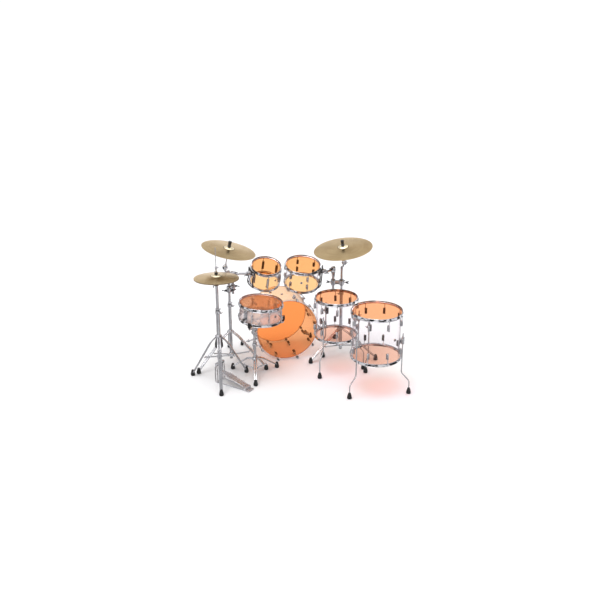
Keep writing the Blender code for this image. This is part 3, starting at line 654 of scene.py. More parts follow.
def lug_pair(low, high):
    """A cast lug between two heights: its foot and gasket on the shell, its body and its receiver tube."""
    mid = (low + high) / 2
    foot = rounded((-0.0132, -0.0102, low), (-0.0095, 0.0102, high), 0.0022, 3)
    body = rounded((-0.011, -0.0078, low + 0.0025), (0.001, 0.0078, high - 0.0025), 0.0042, 3)
    spine = [
        (-0.002, 0, low + 0.004), (0.0052, 0, low + 0.007), (0.0064, 0, mid), (0.0052, 0, high - 0.007),
        (-0.002, 0, high - 0.004)
    ]
    crest = sweep(fillet(spine, 0.008), 0.0038, 12)
    barrel = rod(0.0066, low - 0.001, high + 0.001, 0.0014, 20)
    gasket = rounded((-0.01425, -0.0112, low - 0.0012), (-0.0128, 0.0112, high + 0.0012), 0.0006)
    return [foot, body, crest, barrel], [gasket]


def tube_lug(low, high):
    """A snare's tube lug: a slim tube on two posts, with a collar at each end."""
    solids = [
        rod(0.005, low, high, 0.0008, 20), rod(0.0064, low - 0.001, low + 0.007, 0.001, 20),
        rod(0.0064, high - 0.007, high + 0.001, 0.001, 20)
    ]
    gaskets = []
    for z in (low + (high - low) * 0.24, high - (high - low) * 0.24):
        post = moved(rod(0.004, 0, 0.0125, 0.0006, 16), QUARTER_Y)
        solids.append(at(post, (-0.013, 0, z)))
        solids.append(at(moved(rod(0.0062, 0, 0.0022, 0.0008, 18), QUARTER_Y), (-0.0132, 0, z)))
        gaskets.append(at(moved(rod(0.0072, 0, 0.0009, 0.0003, 18), QUARTER_Y), (-0.01425, 0, z)))
    return solids, gaskets


def rubber_foot(radius=0.02, height=0.055, neck=0.01):
    outline = [
        (0, 0), (radius * 0.78, 0), (radius * 0.93, height * 0.05), (radius, height * 0.18),
        (radius * 0.97, height * 0.36)
    ]
    outline += [
        (radius * 0.8, height * 0.62), (neck * 1.12, height * 0.9), (neck, height * 0.97),
        (neck * 0.85, height), (0, height)
    ]
    return lathe(outline, 28)


# Drums


def shell_tube(size):
    radius, depth = size[0] / 2, size[1]
    inner = radius - WALL
    edge = [
        (inner, 0.003), (inner + 0.0014, 0.0008), (inner + 0.003, 0.0), (radius - 0.0012, 0.0008),
        (radius, 0.0025)
    ]
    return lathe(edge + [(r, depth - z) for r, z in reversed(edge)], ROUND)


def vent(size, height, angle):
    """The grommet of a shell's air hole, with a black disc in the hole as painted shade for its dark open
    inside.
    """
    turn = Matrix.Rotation(angle, 4, "Z") @ Matrix.Translation((size[0] / 2, 0, height)) @ QUARTER_Y
    return [
        moved(ring(0.0105, 0.0074, -0.0075, 0.0014, 0.0006, 28), turn)
    ], [moved(rod(0.0073, -0.0066, 0.0008, 0.0006, 24), turn)]


def skin(size, top, finish):
    """The film with its collar over the bearing edge, and the hoop that it is crimped into."""
    radius, depth = size[0] / 2, size[1]
    upper = [
        (0, 0.0016), (radius - 0.014, 0.0016), (radius - 0.0075, 0.0015), (radius - 0.0025, 0.0012),
        (radius + 0.0015, 0.0006)
    ]
    upper += [(radius + 0.0032, -0.001), (radius + 0.0038, -0.006)]
    under = [
        (radius + 0.0034, -0.006), (radius + 0.0028, -0.001), (radius + 0.0012, 0.0003),
        (radius - 0.0025, 0.0007)
    ]
    under += [(radius - 0.0075, 0.001), (radius - 0.014, 0.0011), (0, 0.0011)]
    film = lathe([(r, depth + z) for r, z in upper + under], ROUND)
    grip = [
        (0.003, -0.0098), (0.0042, -0.0104), (0.0072, -0.0102), (0.008, -0.009), (0.0078, -0.0018),
        (0.0066, -0.0008), (0.005, -0.0016), (0.0046, -0.006), (0.003, -0.007)
    ]
    hoop = lathe([(radius + r, depth + z) for r, z in grip], ROUND)
    film, hoop = (film, hoop) if top else (flip(film, depth), flip(hoop, depth))
    return {finish: [film], "alloy": [hoop]}


def hoop_set(size, top, count, first, lug=(0.102, 0.05)):
    """One hoop with its rods and its row of lugs."""
    radius, depth = size[0] / 2, size[1]
    chrome, black = flanged(size, top, count, first), []
    for angle in angles(count, first):
        metal_bits, soft_bits = drum_key_rod(depth - lug[1] - 0.004, depth - 0.013)
        lug_bits, gasket = lug_pair(depth - lug[0], depth - lug[1])
        for group, solids in ((chrome, metal_bits + lug_bits), (black, soft_bits + gasket)):
            for solid in solids:
                group.append(radial(solid if top else flip(solid, depth), radius + ROD, angle))
    return {"chrome": chrome, "plastic": black}


def bridged_set(size, count, first, reach, tubes):
    radius, depth = size[0] / 2, size[1]
    chrome, black = flanged(size, True, count, first) + flanged(size, False, count, first), []
    for angle in angles(count, first):
        metal_bits, soft_bits = drum_key_rod(depth - reach - 0.004, depth - 0.013)
        lug_bits, gasket = (tube_lug if tubes else lug_pair)(reach, depth - reach)
        metal_bits += [flip(s, depth) for s in metal_bits] + lug_bits
        soft_bits += [flip(s, depth) for s in soft_bits] + gasket
        chrome += [radial(s, radius + ROD, angle) for s in metal_bits]
        black += [radial(s, radius + ROD, angle) for s in soft_bits]
    return {"chrome": chrome, "plastic": black}


def leg_bracket(size, height, angle):
    """A floor tom's bracket: a plate on the shell, the split barrel round the leg, and its wing bolt."""
    out = size[0] / 2 + LEG
    plate = rounded((-0.0245, -0.0145, height - 0.03), (-0.0205, 0.0145, height + 0.03), 0.0018, 3)
    gasket = rounded((-0.0254, -0.0158, height - 0.0315), (-0.024, 0.0158, height + 0.0315), 0.0006)
    neck = rounded((-0.0215, -0.01, height - 0.02), (-0.006, 0.01, height + 0.02), 0.003, 3)
    barrel = ring(0.0125, 0.006, height - 0.026, height + 0.026, 0.0015, 28)
    clamp = rounded((-0.004, 0.006, height - 0.01), (0.009, 0.0165, height + 0.01), 0.002)
    bolts = wing((0.002, 0.0155, height), (0.0, 1.0, 0.0), 0.012, 0.034)
    return [
        radial(s, out, angle) for s in [plate, neck, barrel, clamp] + bolts
    ], [radial(gasket, out, angle)]


def floor_tom(name, size, base, first, leg_angles, foot_radius, bend):
    place = Matrix.Translation(base)
    radius, mid = size[0] / 2, 0.165
    pieces(name + "_batter_head", skin(size, True, "peach"), place)
    pieces(name + "_bottom_head", skin(size, False, "rose"), place)
    pieces(name + "_batter_hoop", hoop_set(size, True, 8, first), place)
    pieces(name + "_bottom_hoop", hoop_set(size, False, 8, first), place)
    groups = {"acrylic": [shell_tube(size)], "chrome": [], "plastic": []}
    for degrees in leg_angles:
        bright, black = leg_bracket(size, mid, math.radians(degrees))
        groups["chrome"] += bright
        groups["plastic"] += black
    grommet, hole = vent(size, size[1] / 2, math.radians(first + 22.5 - 90))
    groups["chrome"] += grommet
    groups["plastic"] += hole
    pieces(name + "_shell", groups, place)
    for label, degrees in zip("abc", leg_angles):
        out = polar(1.0, math.radians(degrees))
        upright, foot = out * (radius + LEG), out * foot_radius
        path = [upright + Vector((0, 0, base.z + mid + 0.07)), upright + Vector((0, 0, bend))]
        path += [foot + Vector((0, 0, bend - 0.065)), foot + Vector((0, 0, 0.03))]
        bar = sweep(fillet(path, 0.022), 0.0052, 16)
        cap = at(rod(0.0056, -0.002, 0.003, 0.0012, 16), path[0])
        stop = at(
            ring(0.0105, 0.005, 0, 0.013, 0.0012, 24), upright + Vector((0, 0, base.z + mid + 0.0275))
        )
        bolt = wing(
            upright + out * 0.01 + Vector((0, 0, base.z + mid + 0.034)), out, 0.008, 0.018, 0.0035, 0.005
        )
        groups = {"chrome": [bar, cap, stop] + bolt, "rubber": [at(rubber_foot(), foot)]}
        pieces(f"{name}_leg_{label}", groups, Matrix.Translation((base.x, base.y, 0)))


def claw_set(size, top):
    """A clear bass drum hoop with its claws, rods and lugs."""
    radius, depth = size[0] / 2, size[1]
    outline = [(0.0095, -0.0148), (0.0107, -0.016), (0.0163, -0.016), (0.0175, -0.0148)]
    outline += [(0.0175, 0.0213), (0.0163, 0.0225), (0.0107, 0.0225), (0.0095, 0.0213)]
    groups = {
        "acrylic": [lathe([(radius + r, depth + z) for r, z in outline], ROUND + 32)], "chrome": [],
        "plastic": []
    }
    for angle in angles(10, 18 - 90):
        hook = sweep(
            fillet(
                [
                    (-0.0105, 0, depth + 0.0232), (0.001, 0, depth + 0.0245), (0.0028, 0, depth + 0.01),
                    (0.001, 0, depth - 0.0125)
                ],
                0.007
            ),
            0.0028,
            14,
            3.4,
            (0, 0, 1),
        )
        ear = rounded((-0.0035, -0.0068, depth - 0.0135), (0.0068, 0.0068, depth + 0.0065), 0.003, 3)
        head = rounded((-0.0029, -0.0029, depth + 0.008), (0.0029, 0.0029, depth + 0.0175), 0.0006)
        collar = rod(0.0056, depth + 0.005, depth + 0.01, 0.001, 20)
        shaft = rod(0.0034, depth - 0.08, depth - 0.01, 0.0005, 14)
        pad = rounded((-0.0118, -0.0112, depth + 0.019), (-0.003, 0.0112, depth + 0.0236), 0.001)
        pad_out = rounded((-0.0052, -0.0115, depth - 0.012), (-0.0022, 0.0115, depth + 0.018), 0.001)
        foot = rounded((-0.0205, -0.0105, depth - 0.126), (-0.016, 0.0105, depth - 0.074), 0.0018, 3)
        body = rounded((-0.0175, -0.0078, depth - 0.12), (-0.001, 0.0078, depth - 0.08), 0.0045, 3)
        barrel = rod(0.0078, depth - 0.122, depth - 0.078, 0.002, 22)
        gasket = rounded((-0.0217, -0.0116, depth - 0.1275), (-0.02, 0.0116, depth - 0.0725), 0.0006)
        for key, solids in (
            ("chrome", (hook, ear, head, collar, shaft, foot, body, barrel)),
            ("plastic", (pad, pad_out, gasket))
        ):
            groups[key] += [radial(s if top else flip(s, depth), radius + 0.022, angle) for s in solids]
    return groups


def bass_drum():
    size = BASS_SIZE
    radius = size[0] / 2
    place = Matrix.Translation(BASS_AT + Vector((0, size[1], 0))) @ QUARTER_X
    pieces("bass_batter_head", skin(size, True, "deep"), place)
    pieces("bass_front_head", skin(size, False, "front"), place)
    pieces("bass_batter_hoop", claw_set(size, True), place)
    pieces("bass_front_hoop", claw_set(size, False), place)
    grommet, hole = vent(size, size[1] * 0.5, math.radians(90))
    groups = {"acrylic": [shell_tube(size)], "chrome": grommet, "plastic": hole}
    spurs = []
    for side in (-1, 1):
        drop = math.radians(33)
        out = Vector((side * math.cos(drop), 0, -math.sin(drop)))
        seat = BASS_AT + Vector((0, size[1] * 0.6, 0)) + out * (radius + 0.006)
        turn = place.inverted() @ axis_frame(seat, out)
        flange = [
            (0, -0.0065), (0.021, -0.0065), (0.022, -0.005), (0.0216, 0.002), (0.015, 0.0075),
            (0.009, 0.008), (0.0085, 0.02), (0, 0.0205)
        ]
        groups["chrome"].append(moved(lathe(flange, 36), turn))
        groups["plastic"].append(moved(ring(0.0232, 0.01, -0.0078, -0.0058, 0.0006, 36), turn))
        pivot = seat + out * 0.019
        spurs.append((side, out, pivot))
    pieces("bass_shell", groups, place)
    for side, out, pivot in spurs:
        foot = Vector((BASS_AT.x + side * 0.345, 0.592, 0))
        knuckle = moved(
            lathe(
                [
                    (0.0088, -0.008), (0.0155, -0.008), (0.017, -0.0065), (0.017, 0.0105),
                    (0.0155, 0.012), (0.0088, 0.012)
                ],
                32
            ),
            axis_frame(pivot, out)
        )
        cap = moved(
            lathe([(0.0, 0.0115), (0.0105, 0.0115), (0.01, 0.015), (0.005, 0.0172), (0, 0.0175)], 24),
            axis_frame(pivot, out)
        )
        reach = (foot + Vector((0, 0, 0.02)) - pivot).normalized()
        start = pivot + reach * 0.0125 + out * 0.002
        end = foot + Vector((0, 0, 0.022))
        bar = sweep([start, end], 0.0055, 18)
        sleeve = sweep([start, start + (end - start) * 0.42], 0.0078, 20)
        stop = moved(
            ring(0.0115, 0.005, 0, 0.014, 0.0014, 24),
            axis_frame(start + (end - start) * 0.43, end - start)
        )
        bolt = wing(start + (end - start) * 0.45, (end - start).cross(out), 0.012, 0.026, 0.004, 0.006)
        name = "bass_spur_left" if side < 0 else "bass_spur_right"
        tip = at(rubber_foot(0.015, 0.05, 0.0075), foot)
        pieces(name, {"chrome": [knuckle, cap, bar, sleeve, stop] + bolt, "rubber": [tip]})


def band(size, angle, low, high, half, boss):
    """The open frame of a mount, bent round part of a drum outside its lugs."""
    inner = size[0] / 2 + 0.0312
    bars = []
    for side in (-1, 1):
        rail = []
        for i in range(13):
            t = i / 12
            rail.append(
                polar(
                    inner, angle + side * half * (1.0 - 0.34 * math.sin(math.pi * t) ** 2),
                    low + (high - low) * t
                )
            )
        bars.append(sweep(rail, 0.0056, 12, 0.62, polar(1.0, angle)))
    for height, reach in ((low, 1.0), (high, 1.0), (boss + 0.01, 0.7), (boss - 0.012, 0.7)):
        arc = [polar(inner, angle + half * reach * (i / 4 - 1), height) for i in range(9)]
        bars.append(sweep(arc, 0.0052, 12, 0.62, polar(1.0, angle)))
    return bars


def hanger(name, size, place, degrees, low, high, boss):
    """A tom's isolation mount: the strap, its feet on the hoops, and the casting that takes the arm."""
    radius, turn = size[0] / 2, math.radians(degrees)
    black, bright = band(size, turn, low, high, STRAP_HALF / (radius + 0.03), boss), []
    for side in (-0.72, 0.72):
        spot = turn + side * STRAP_HALF / (radius + 0.03)
        for height in (low + 0.008, high - 0.008):
            black.append(
                radial(
                    rounded((0.0225, -0.008, height - 0.007), (0.03, 0.008, height + 0.007), 0.002),
                    radius, spot
                )
            )
            button = moved(rod(0.0048, 0.03, 0.0352, 0.001, 18), QUARTER_Y)
            bright.append(radial(at(button, (0, 0, height)), radius, spot))
    base = rounded((0.03, -0.0185, boss - 0.0215), (0.04, 0.0185, boss + 0.0205), 0.003, 3)
    black.append(radial(base, radius, turn))
    casting = moved(
        lathe(
            [(0, 0.036), (0.0165, 0.036), (0.017, 0.0385), (0.0145, 0.05), (0.0135, 0.053), (0, 0.053)],
            32
        ),
        Matrix.Translation((0, 0, boss)) @ QUARTER_Y,
    )
    bright.append(radial(casting, radius, turn))
    bright += [
        radial(s, radius, turn) for s in wing((0.0455, 0.0, boss - 0.015), (0, 0, -1), 0.014, 0.034)
    ]
    pieces(name, {"plastic": black, "chrome": bright}, place)


def rack_toms():
    place = tom_frame(TOM12_HEAD, TOM12_AXIS, TOM12_SIZE)
    grommet, hole = vent(TOM12_SIZE, 0.1, math.radians(-108))
    pieces(
        "tom12_shell", {"acrylic": [shell_tube(TOM12_SIZE)], "chrome": grommet, "plastic": hole}, place
    )
    pieces("tom12_batter_head", skin(TOM12_SIZE, True, "orange"), place)
    pieces("tom12_bottom_head", skin(TOM12_SIZE, False, "pale"), place)
    pieces("tom12_batter_hoop", hoop_set(TOM12_SIZE, True, 6, 32.2, (0.084, 0.04)), place)
    pieces("tom12_bottom_hoop", hoop_set(TOM12_SIZE, False, 6, 32.2, (0.084, 0.04)), place)
    hanger("tom12_mount", TOM12_SIZE, place, -30, 0.02, 0.206, 0.186)
    place = tom_frame(TOM10_HEAD, TOM10_AXIS, TOM10_SIZE)
    grommet, hole = vent(TOM10_SIZE, 0.09, math.radians(-55))
    pieces(
        "tom10_shell", {"acrylic": [shell_tube(TOM10_SIZE)], "chrome": grommet, "plastic": hole}, place
    )
    pieces("tom10_batter_head", skin(TOM10_SIZE, True, "orange"), place)
    pieces("tom10_bottom_head", skin(TOM10_SIZE, False, "pale"), place)
    pieces("tom10_hoops", bridged_set(TOM10_SIZE, 6, 27, 0.045, False), place)
    hanger("tom10_mount", TOM10_SIZE, place, 196, 0.01, 0.175, 0.155)


def boss_face(head, axis, size, degrees, height):
    place = tom_frame(head, axis, size)
    spin = Matrix.Rotation(math.radians(degrees), 4, "Z")
    out = (place.to_3x3() @ (spin.to_3x3() @ Vector((1, 0, 0)))).normalized()
    return place @ (spin @ Vector((size[0] / 2 + BOSS_REACH, 0, height))), out


# Stands


def tripod(hub, low_hub, foot_radius, foot_angles, bow, bore):
    """A double-braced tripod: cast hubs, legs of two strips each, braces with rivets, and rubber feet."""
    bright, black = [], []
    for z, out, half in ((hub, 0.0235, 0.014), (low_hub, 0.0215, 0.01)):
        outline = [
            (bore + 0.0004, z - half), (out - 0.003, z - half), (out, z - half * 0.6),
            (out, z + half * 0.6), (out - 0.004, z + half), (bore + 0.0004, z + half)
        ]
        bright.append(lathe(outline, 36))
    for degrees in foot_angles:
        turn = math.radians(degrees)
        across = polar(1.0, turn + math.pi / 2)
        foot = polar(foot_radius, turn)
        shoulder = polar(0.075, turn, hub - 0.012 - bow * 0.2)
        for side in (-0.01, 0.01):
            path = [polar(0.016, turn, hub) + across * side, shoulder + across * side]
            path.append(polar(foot_radius - 0.01, turn, 0.036) + across * side * 0.62)
            bright.append(sweep(fillet(path, 0.075, 10), 0.0083, 14, 0.72, across))
        bright.append(
            turned(rounded((0.016, -0.0125, hub - 0.01), (0.03, 0.0125, hub + 0.01), 0.003), turn)
        )
        bright.append(
            turned(
                rounded((0.014, -0.0085, low_hub - 0.007), (0.027, 0.0085, low_hub + 0.007), 0.002), turn
            )
        )
        black.append(at(rubber_foot(), foot))
        joint = polar(foot_radius * 0.52, turn, (hub - 0.02) * 0.5)
        pin = axis_frame(joint, across)
        bright.append(moved(rod(0.0042, -0.014, 0.014, 0.001, 16), pin))
        for side in (-1, 1):
            low, high = sorted((0.0112 * side, 0.0138 * side))
            bright.append(moved(rod(0.0062, low, high, 0.001, 18), pin))
        brace = [polar(0.02, turn, low_hub), joint]
        for side in (-0.0032, 0.0032):
            bright.append(
                sweep(
                    [p + across * side for p in brace], 0.0055, 10, 0.35, across.cross(Vector((0, 0, 1)))
                )
            )
    return bright, black


def lock(z, bore, out, degrees, tall=0.026):
    """A tube's height collar: a split clamp with a plastic sleeve, and a wing bolt to one side."""
    outline = [
        (bore, z - tall), (out, z - tall), (out + 0.0012, z - tall * 0.85), (out + 0.0012, z - 0.003),
        (out - 0.001, z), (bore, z)
    ]
    turn = math.radians(degrees)
    lugs = turned(
        rounded((out - 0.004, -0.0075, z - tall * 0.85), (out + 0.01, 0.0075, z - tall * 0.15), 0.002),
        turn
    )
    bolt = wing(polar(out + 0.008, turn, z - tall * 0.5), polar(1.0, turn), 0.014, 0.036)
    sleeve = ring(bore + 0.0022, bore - 0.0006, z - 0.002, z + 0.0035, 0.0006, 32)
    return [lathe(outline, 36), lugs] + bolt, [sleeve]


def memory_ring(z, bore, out=0.0165, degrees=40):
    """A hinged ring that remembers a height, with its square-headed screw."""
    solids = [ring(out, bore, z, z + 0.014, 0.0015, 32)]
    turn = math.radians(degrees)
    solids.append(
        turned(rounded((out - 0.003, -0.006, z + 0.001), (out + 0.008, 0.006, z + 0.013), 0.0015), turn)
    )
    return solids + [
        turned(
            rounded((out + 0.002, 0.004, z + 0.0045), (out + 0.0065, 0.0125, z + 0.0095), 0.0008), turn
        )
    ]


def tube(outer, inner, low, high):
    return ring(outer, inner, low, high, 0.0008, 36)


def knuckle_half(side, size=0.023):
    """One toothed disc of a tilter, from its face at 0."""
    near, far = (0.0005, 0.013) if side > 0 else (-0.0005, -0.0135)
    step = 0.0012 * side
    outline = [
        (0, near), (size - 0.0015, near), (size, near + step), (size, far - step * 2),
        (size - 0.004, far), (0, far)
    ]
    teeth = []
    for angle in angles(24, 0):
        teeth.append(
            radial(
                rounded(
                    (size - 0.003, -0.001, min(near, near + step)),
                    (size + 0.0008, 0.001, max(near, near + step)), 0.0003, 1
                ),
                0, angle
            )
        )
    return [lathe(outline, 36)] + teeth


def cymbal_stand(name, centre, foot_angles, heights, cymbal_at, axis, reach, clamp):
    place = Matrix.Translation(centre)
    bright, black = tripod(heights["hub"], heights["low_hub"], 0.351, foot_angles, 0.1, 0.0145)
    bright.append(tube(0.0145, 0.012, 0.06, heights["collar"] - 0.004))
    collar, sleeve = lock(heights["collar"], 0.0126, 0.019, foot_angles[0])
    black.append(at(rod(0.0139, 0.052, 0.063, 0.002, 28), (0, 0, 0)))
    pieces(name + "_base", {"chrome": bright + collar, "plastic": sleeve, "rubber": black}, place)
    up = axis.normalized()
    lean = Vector((up.x, up.y, 0)).normalized()
    hinge = Vector((-lean.y, lean.x, 0))
    pivot = cymbal_at - up * reach - hinge * 0.0068
    head = pivot.z - 0.034
    here = pivot - centre
    turn = axis_frame(here, hinge)
    post = [tube(0.0108, 0.0088, 0.36, head - 0.006)]
    post += [moved(s, turn) for s in knuckle_half(-1)]
    link = here - hinge * 0.0108
    post.append(
        sweep(fillet([(0, 0, head - 0.014), link - Vector((0, 0, 0.033)), link], 0.01), 0.0085, 20)
    )
    post.append(
        lathe(
            [
                (0, head - 0.022), (0.0125, head - 0.022), (0.013, head - 0.02), (0.012, head - 0.004),
                (0.009, head), (0, head)
            ],
            32
        )
    )
    post += memory_ring(heights["collar"] + 0.006, 0.0106, 0.0165, foot_angles[0] + 25)
    clamp_bright, clamp_black = clamp
    pieces(name + "_post", {"chrome": post + clamp_bright, "plastic": clamp_black}, place)
    moving = [moved(s, axis_frame(pivot, hinge)) for s in knuckle_half(1)]
    nuts = wing(pivot + hinge * 0.0125, hinge, 0.015, 0.04, 0.006, 0.0085)
    stand = axis_frame(cymbal_at, axis)
    stem = [
        (0, 0.012 - reach), (0.0042, 0.012 - reach), (0.0042, 0.01), (0.011, 0.0105), (0.0122, 0.012),
        (0.0122, 0.014)
    ]
    stem += [(0.004, 0.0145), (0.004, 0.064), (0, 0.0645)]
    moving.append(moved(lathe(stem, 24), stand))
    moving.append(
        moved(
            lathe(
                [
                    (0, 0.01 - reach), (0.0088, 0.01 - reach), (0.0088, 0.03 - reach),
                    (0.0055, 0.04 - reach), (0, 0.04 - reach)
                ],
                24
            ),
            stand
        )
    )
    felts = [
        lathe(
            [
                (0.0042, 0.0142), (0.0125, 0.0142), (0.0138, 0.0165), (0.0138, 0.025), (0.012, 0.0284),
                (0.0042, 0.0284)
            ],
            28
        )
    ]
    felts.append(
        lathe(
            [
                (0.0048, 0.033), (0.015, 0.0335), (0.0165, 0.0355), (0.0162, 0.0425), (0.0145, 0.045),
                (0.0048, 0.0452)
            ],
            28
        )
    )
    nut = [
        (0, 0.0455), (0.0115, 0.0455), (0.013, 0.0475), (0.0138, 0.056), (0.016, 0.074), (0.016, 0.079),
        (0.014, 0.0815), (0.0045, 0.082), (0, 0.082)
    ]
    nut = lathe(nut, 24)
    groups = {
        "chrome": moving + nuts, "felt": [moved(s, stand) for s in felts], "plastic": [moved(nut, stand)]
    }
    pieces(name.replace("_stand", "_tilter"), groups)


def arm_clamp(gap, height):
    """A multi-clamp: a jaw round the post, one round the arm, the bridge between, and three wing bolts."""
    turn = math.atan2(gap.y, gap.x)
    half = 0.024
    across, along = polar(1.0, turn + math.pi / 2), polar(1.0, turn)
    bright = [ring(0.0235, 0.0109, height - half, height + half, 0.004, 36)]
    bright.append(at(ring(0.0225, 0.0121, height - half, height + half, 0.004, 36), gap))
    bright.append(
        turned(
            rounded(
                (0.014, -0.015, height - 0.0185), (gap.length - 0.013, 0.015, height + 0.0185), 0.005, 3
            ),
            turn
        )
    )
    bright.append(
        turned(
            rounded(
                (0.01, -0.0185, height - 0.007), (gap.length - 0.013, 0.0185, height + 0.007), 0.003, 3
            ),
            turn
        )
    )
    black = []
    for low, high in (
        (height - half - 0.0035, height - half + 0.001), (height + half - 0.001, height + half + 0.0035)
    ):
        black.append(ring(0.0195, 0.0107, low, high, 0.001, 36))
        black.append(at(ring(0.0185, 0.0119, low, high, 0.001, 36), gap))
    for spot, way, stem in (
        (along * -0.0215, -along, 0.022), (gap + along * 0.0205, along, 0.018),
        (across * -0.0215, -across, 0.014)
    ):
        base = Vector((spot.x, spot.y, height))
        bright.append(moved(rod(0.0055, -0.003, stem, 0.0008, 18), axis_frame(base, way)))
        bright.append(moved(rod(0.011, -0.002, 0.004, 0.001, 22), axis_frame(base, way)))
        black += wing(base + way * stem * 0.8, way, 0.02, 0.058, 0.0085, 0.014)
    return bright, black


def tom_arm(name, arm_at, low, high, target):
    """The arm's upright, its ratchet at the elbow, and the rod into the tom's mount."""
    face, out = target
    base = Vector((arm_at.x, arm_at.y, 0))
    elbow = Vector((0, 0, high))
    face = face - base
    turn = face + out * 0.034
    towards = (turn - elbow).normalized()
    side = Vector((0, 0, 1)).cross(towards).normalized()
    bright = [tube(0.0116, 0.009, low, high - 0.02)]
    bright.append(sweep([elbow - Vector((0, 0, 0.024)), elbow - Vector((0, 0, 0.004))], 0.0095, 20))
    bright.append(sweep(fillet([elbow + towards * 0.004, turn, face + out * 0.0008], 0.02), 0.01, 24))
    for half in (-1, 1):
        bright += [moved(s, axis_frame(elbow, side)) for s in knuckle_half(half)]
    neck = [(0, 0), (0.017, 0), (0.0185, 0.002), (0.017, 0.034), (0.013, 0.046), (0, 0.046)]
    bright.append(moved(lathe(neck, 28), axis_frame(elbow + towards * 0.012, towards)))
    housing = [
        (0, -0.076), (0.0135, -0.076), (0.015, -0.073), (0.015, -0.054), (0.018, -0.046), (0.019, -0.018),
        (0.016, -0.012), (0, -0.012)
    ]
    bright.append(at(lathe(housing, 32), elbow))
    bright.append(moved(ring(0.0165, 0.0098, 0.0015, 0.0165, 0.0015, 28), axis_frame(face, out)))
    black = wing(elbow + side * 0.0125, side, 0.016, 0.044, 0.007, 0.0105)
    black.append(
        moved(
            ring(0.0198, 0.015, -0.0022, 0.0022, 0.0005, 32), axis_frame(elbow + towards * 0.022, towards)
        )
    )
    black.append(at(ring(0.02, 0.0155, -0.034, -0.03, 0.0008, 32), elbow))
    black += wing(face + out * 0.024 - Vector((0, 0, 0.0085)), (0, 0, -1), 0.014, 0.036, 0.006, 0.009)
    black.append(rod(0.011, low - 0.0015, low + 0.004, 0.001, 24))
    pieces(name, {"chrome": bright, "plastic": black}, Matrix.Translation(base))


def cymbal(name, centre, axis, diameter, flipped=False):
    """Bell, bow and edge from the hole outwards, with a rolled rim."""
    edge = diameter / 2
    key = [
        (0.0064, 0.032), (0.011, 0.0318), (0.018, 0.0308), (0.025, 0.029), (0.032, 0.0262),
        (0.0385, 0.0228), (0.0435, 0.0194)
    ]
    key += [(0.047, 0.0176), (0.05, 0.0169), (0.053, 0.0166)]
    steps = 26
    for i in range(1, steps + 1):
        t = i / steps
        r = 0.053 + (edge - 0.053) * t
        key.append((r, 0.0166 * (1 - t) * (1 + 0.42 * t)))
    under = [(r, z - 0.0013) for r, z in reversed(key)]
    under[0] = (edge - 0.0005, -0.001)
    key[-1] = (edge, -0.0003)
    outline = [(r, -z if flipped else z) for r, z in under + key]
    pieces(name, {"bronze": [lathe(outline, 144)]}, axis_frame(centre, axis))


def cymbal_stands():
    left_gap, right_gap = Vector((0.04, 0.032, 0)), Vector((-0.072, 0.027, 0))
    heights = {"hub": 0.321, "low_hub": 0.095, "collar": 0.587}
    feet = (-37.8, -157.8, 82.2)
    cymbal_stand(
        "crash_stand", LEFT_STAND, feet, heights, CRASH_AT, CRASH_AXIS, 0.16, arm_clamp(left_gap, 0.73)
    )
    cymbal("crash_cymbal", CRASH_AT, CRASH_AXIS, CRASH_DIAMETER)
    heights = {"hub": 0.262, "low_hub": 0.092, "collar": 0.625}
    feet = (-158.9, -38.9, 81.1)
    cymbal_stand(
        "ride_stand", RIGHT_STAND, feet, heights, RIDE_AT, RIDE_AXIS, 0.135, arm_clamp(right_gap, 0.718)
    )
    cymbal("ride_cymbal", RIDE_AT, RIDE_AXIS, RIDE_DIAMETER)
    target = boss_face(TOM10_HEAD, TOM10_AXIS, TOM10_SIZE, 196, 0.155)
    tom_arm("tom10_arm", LEFT_STAND + left_gap, 0.672, 0.86, target)
    target = boss_face(TOM12_HEAD, TOM12_AXIS, TOM12_SIZE, -30, 0.186)
    tom_arm("tom12_arm", RIGHT_STAND + right_gap, 0.656, 0.847, target)


PEDAL_ANGLE, PEDAL_HEEL, PEDAL_PIVOT, PEDAL_TOE = math.radians(-50), 0.3, 0.024, 0.098


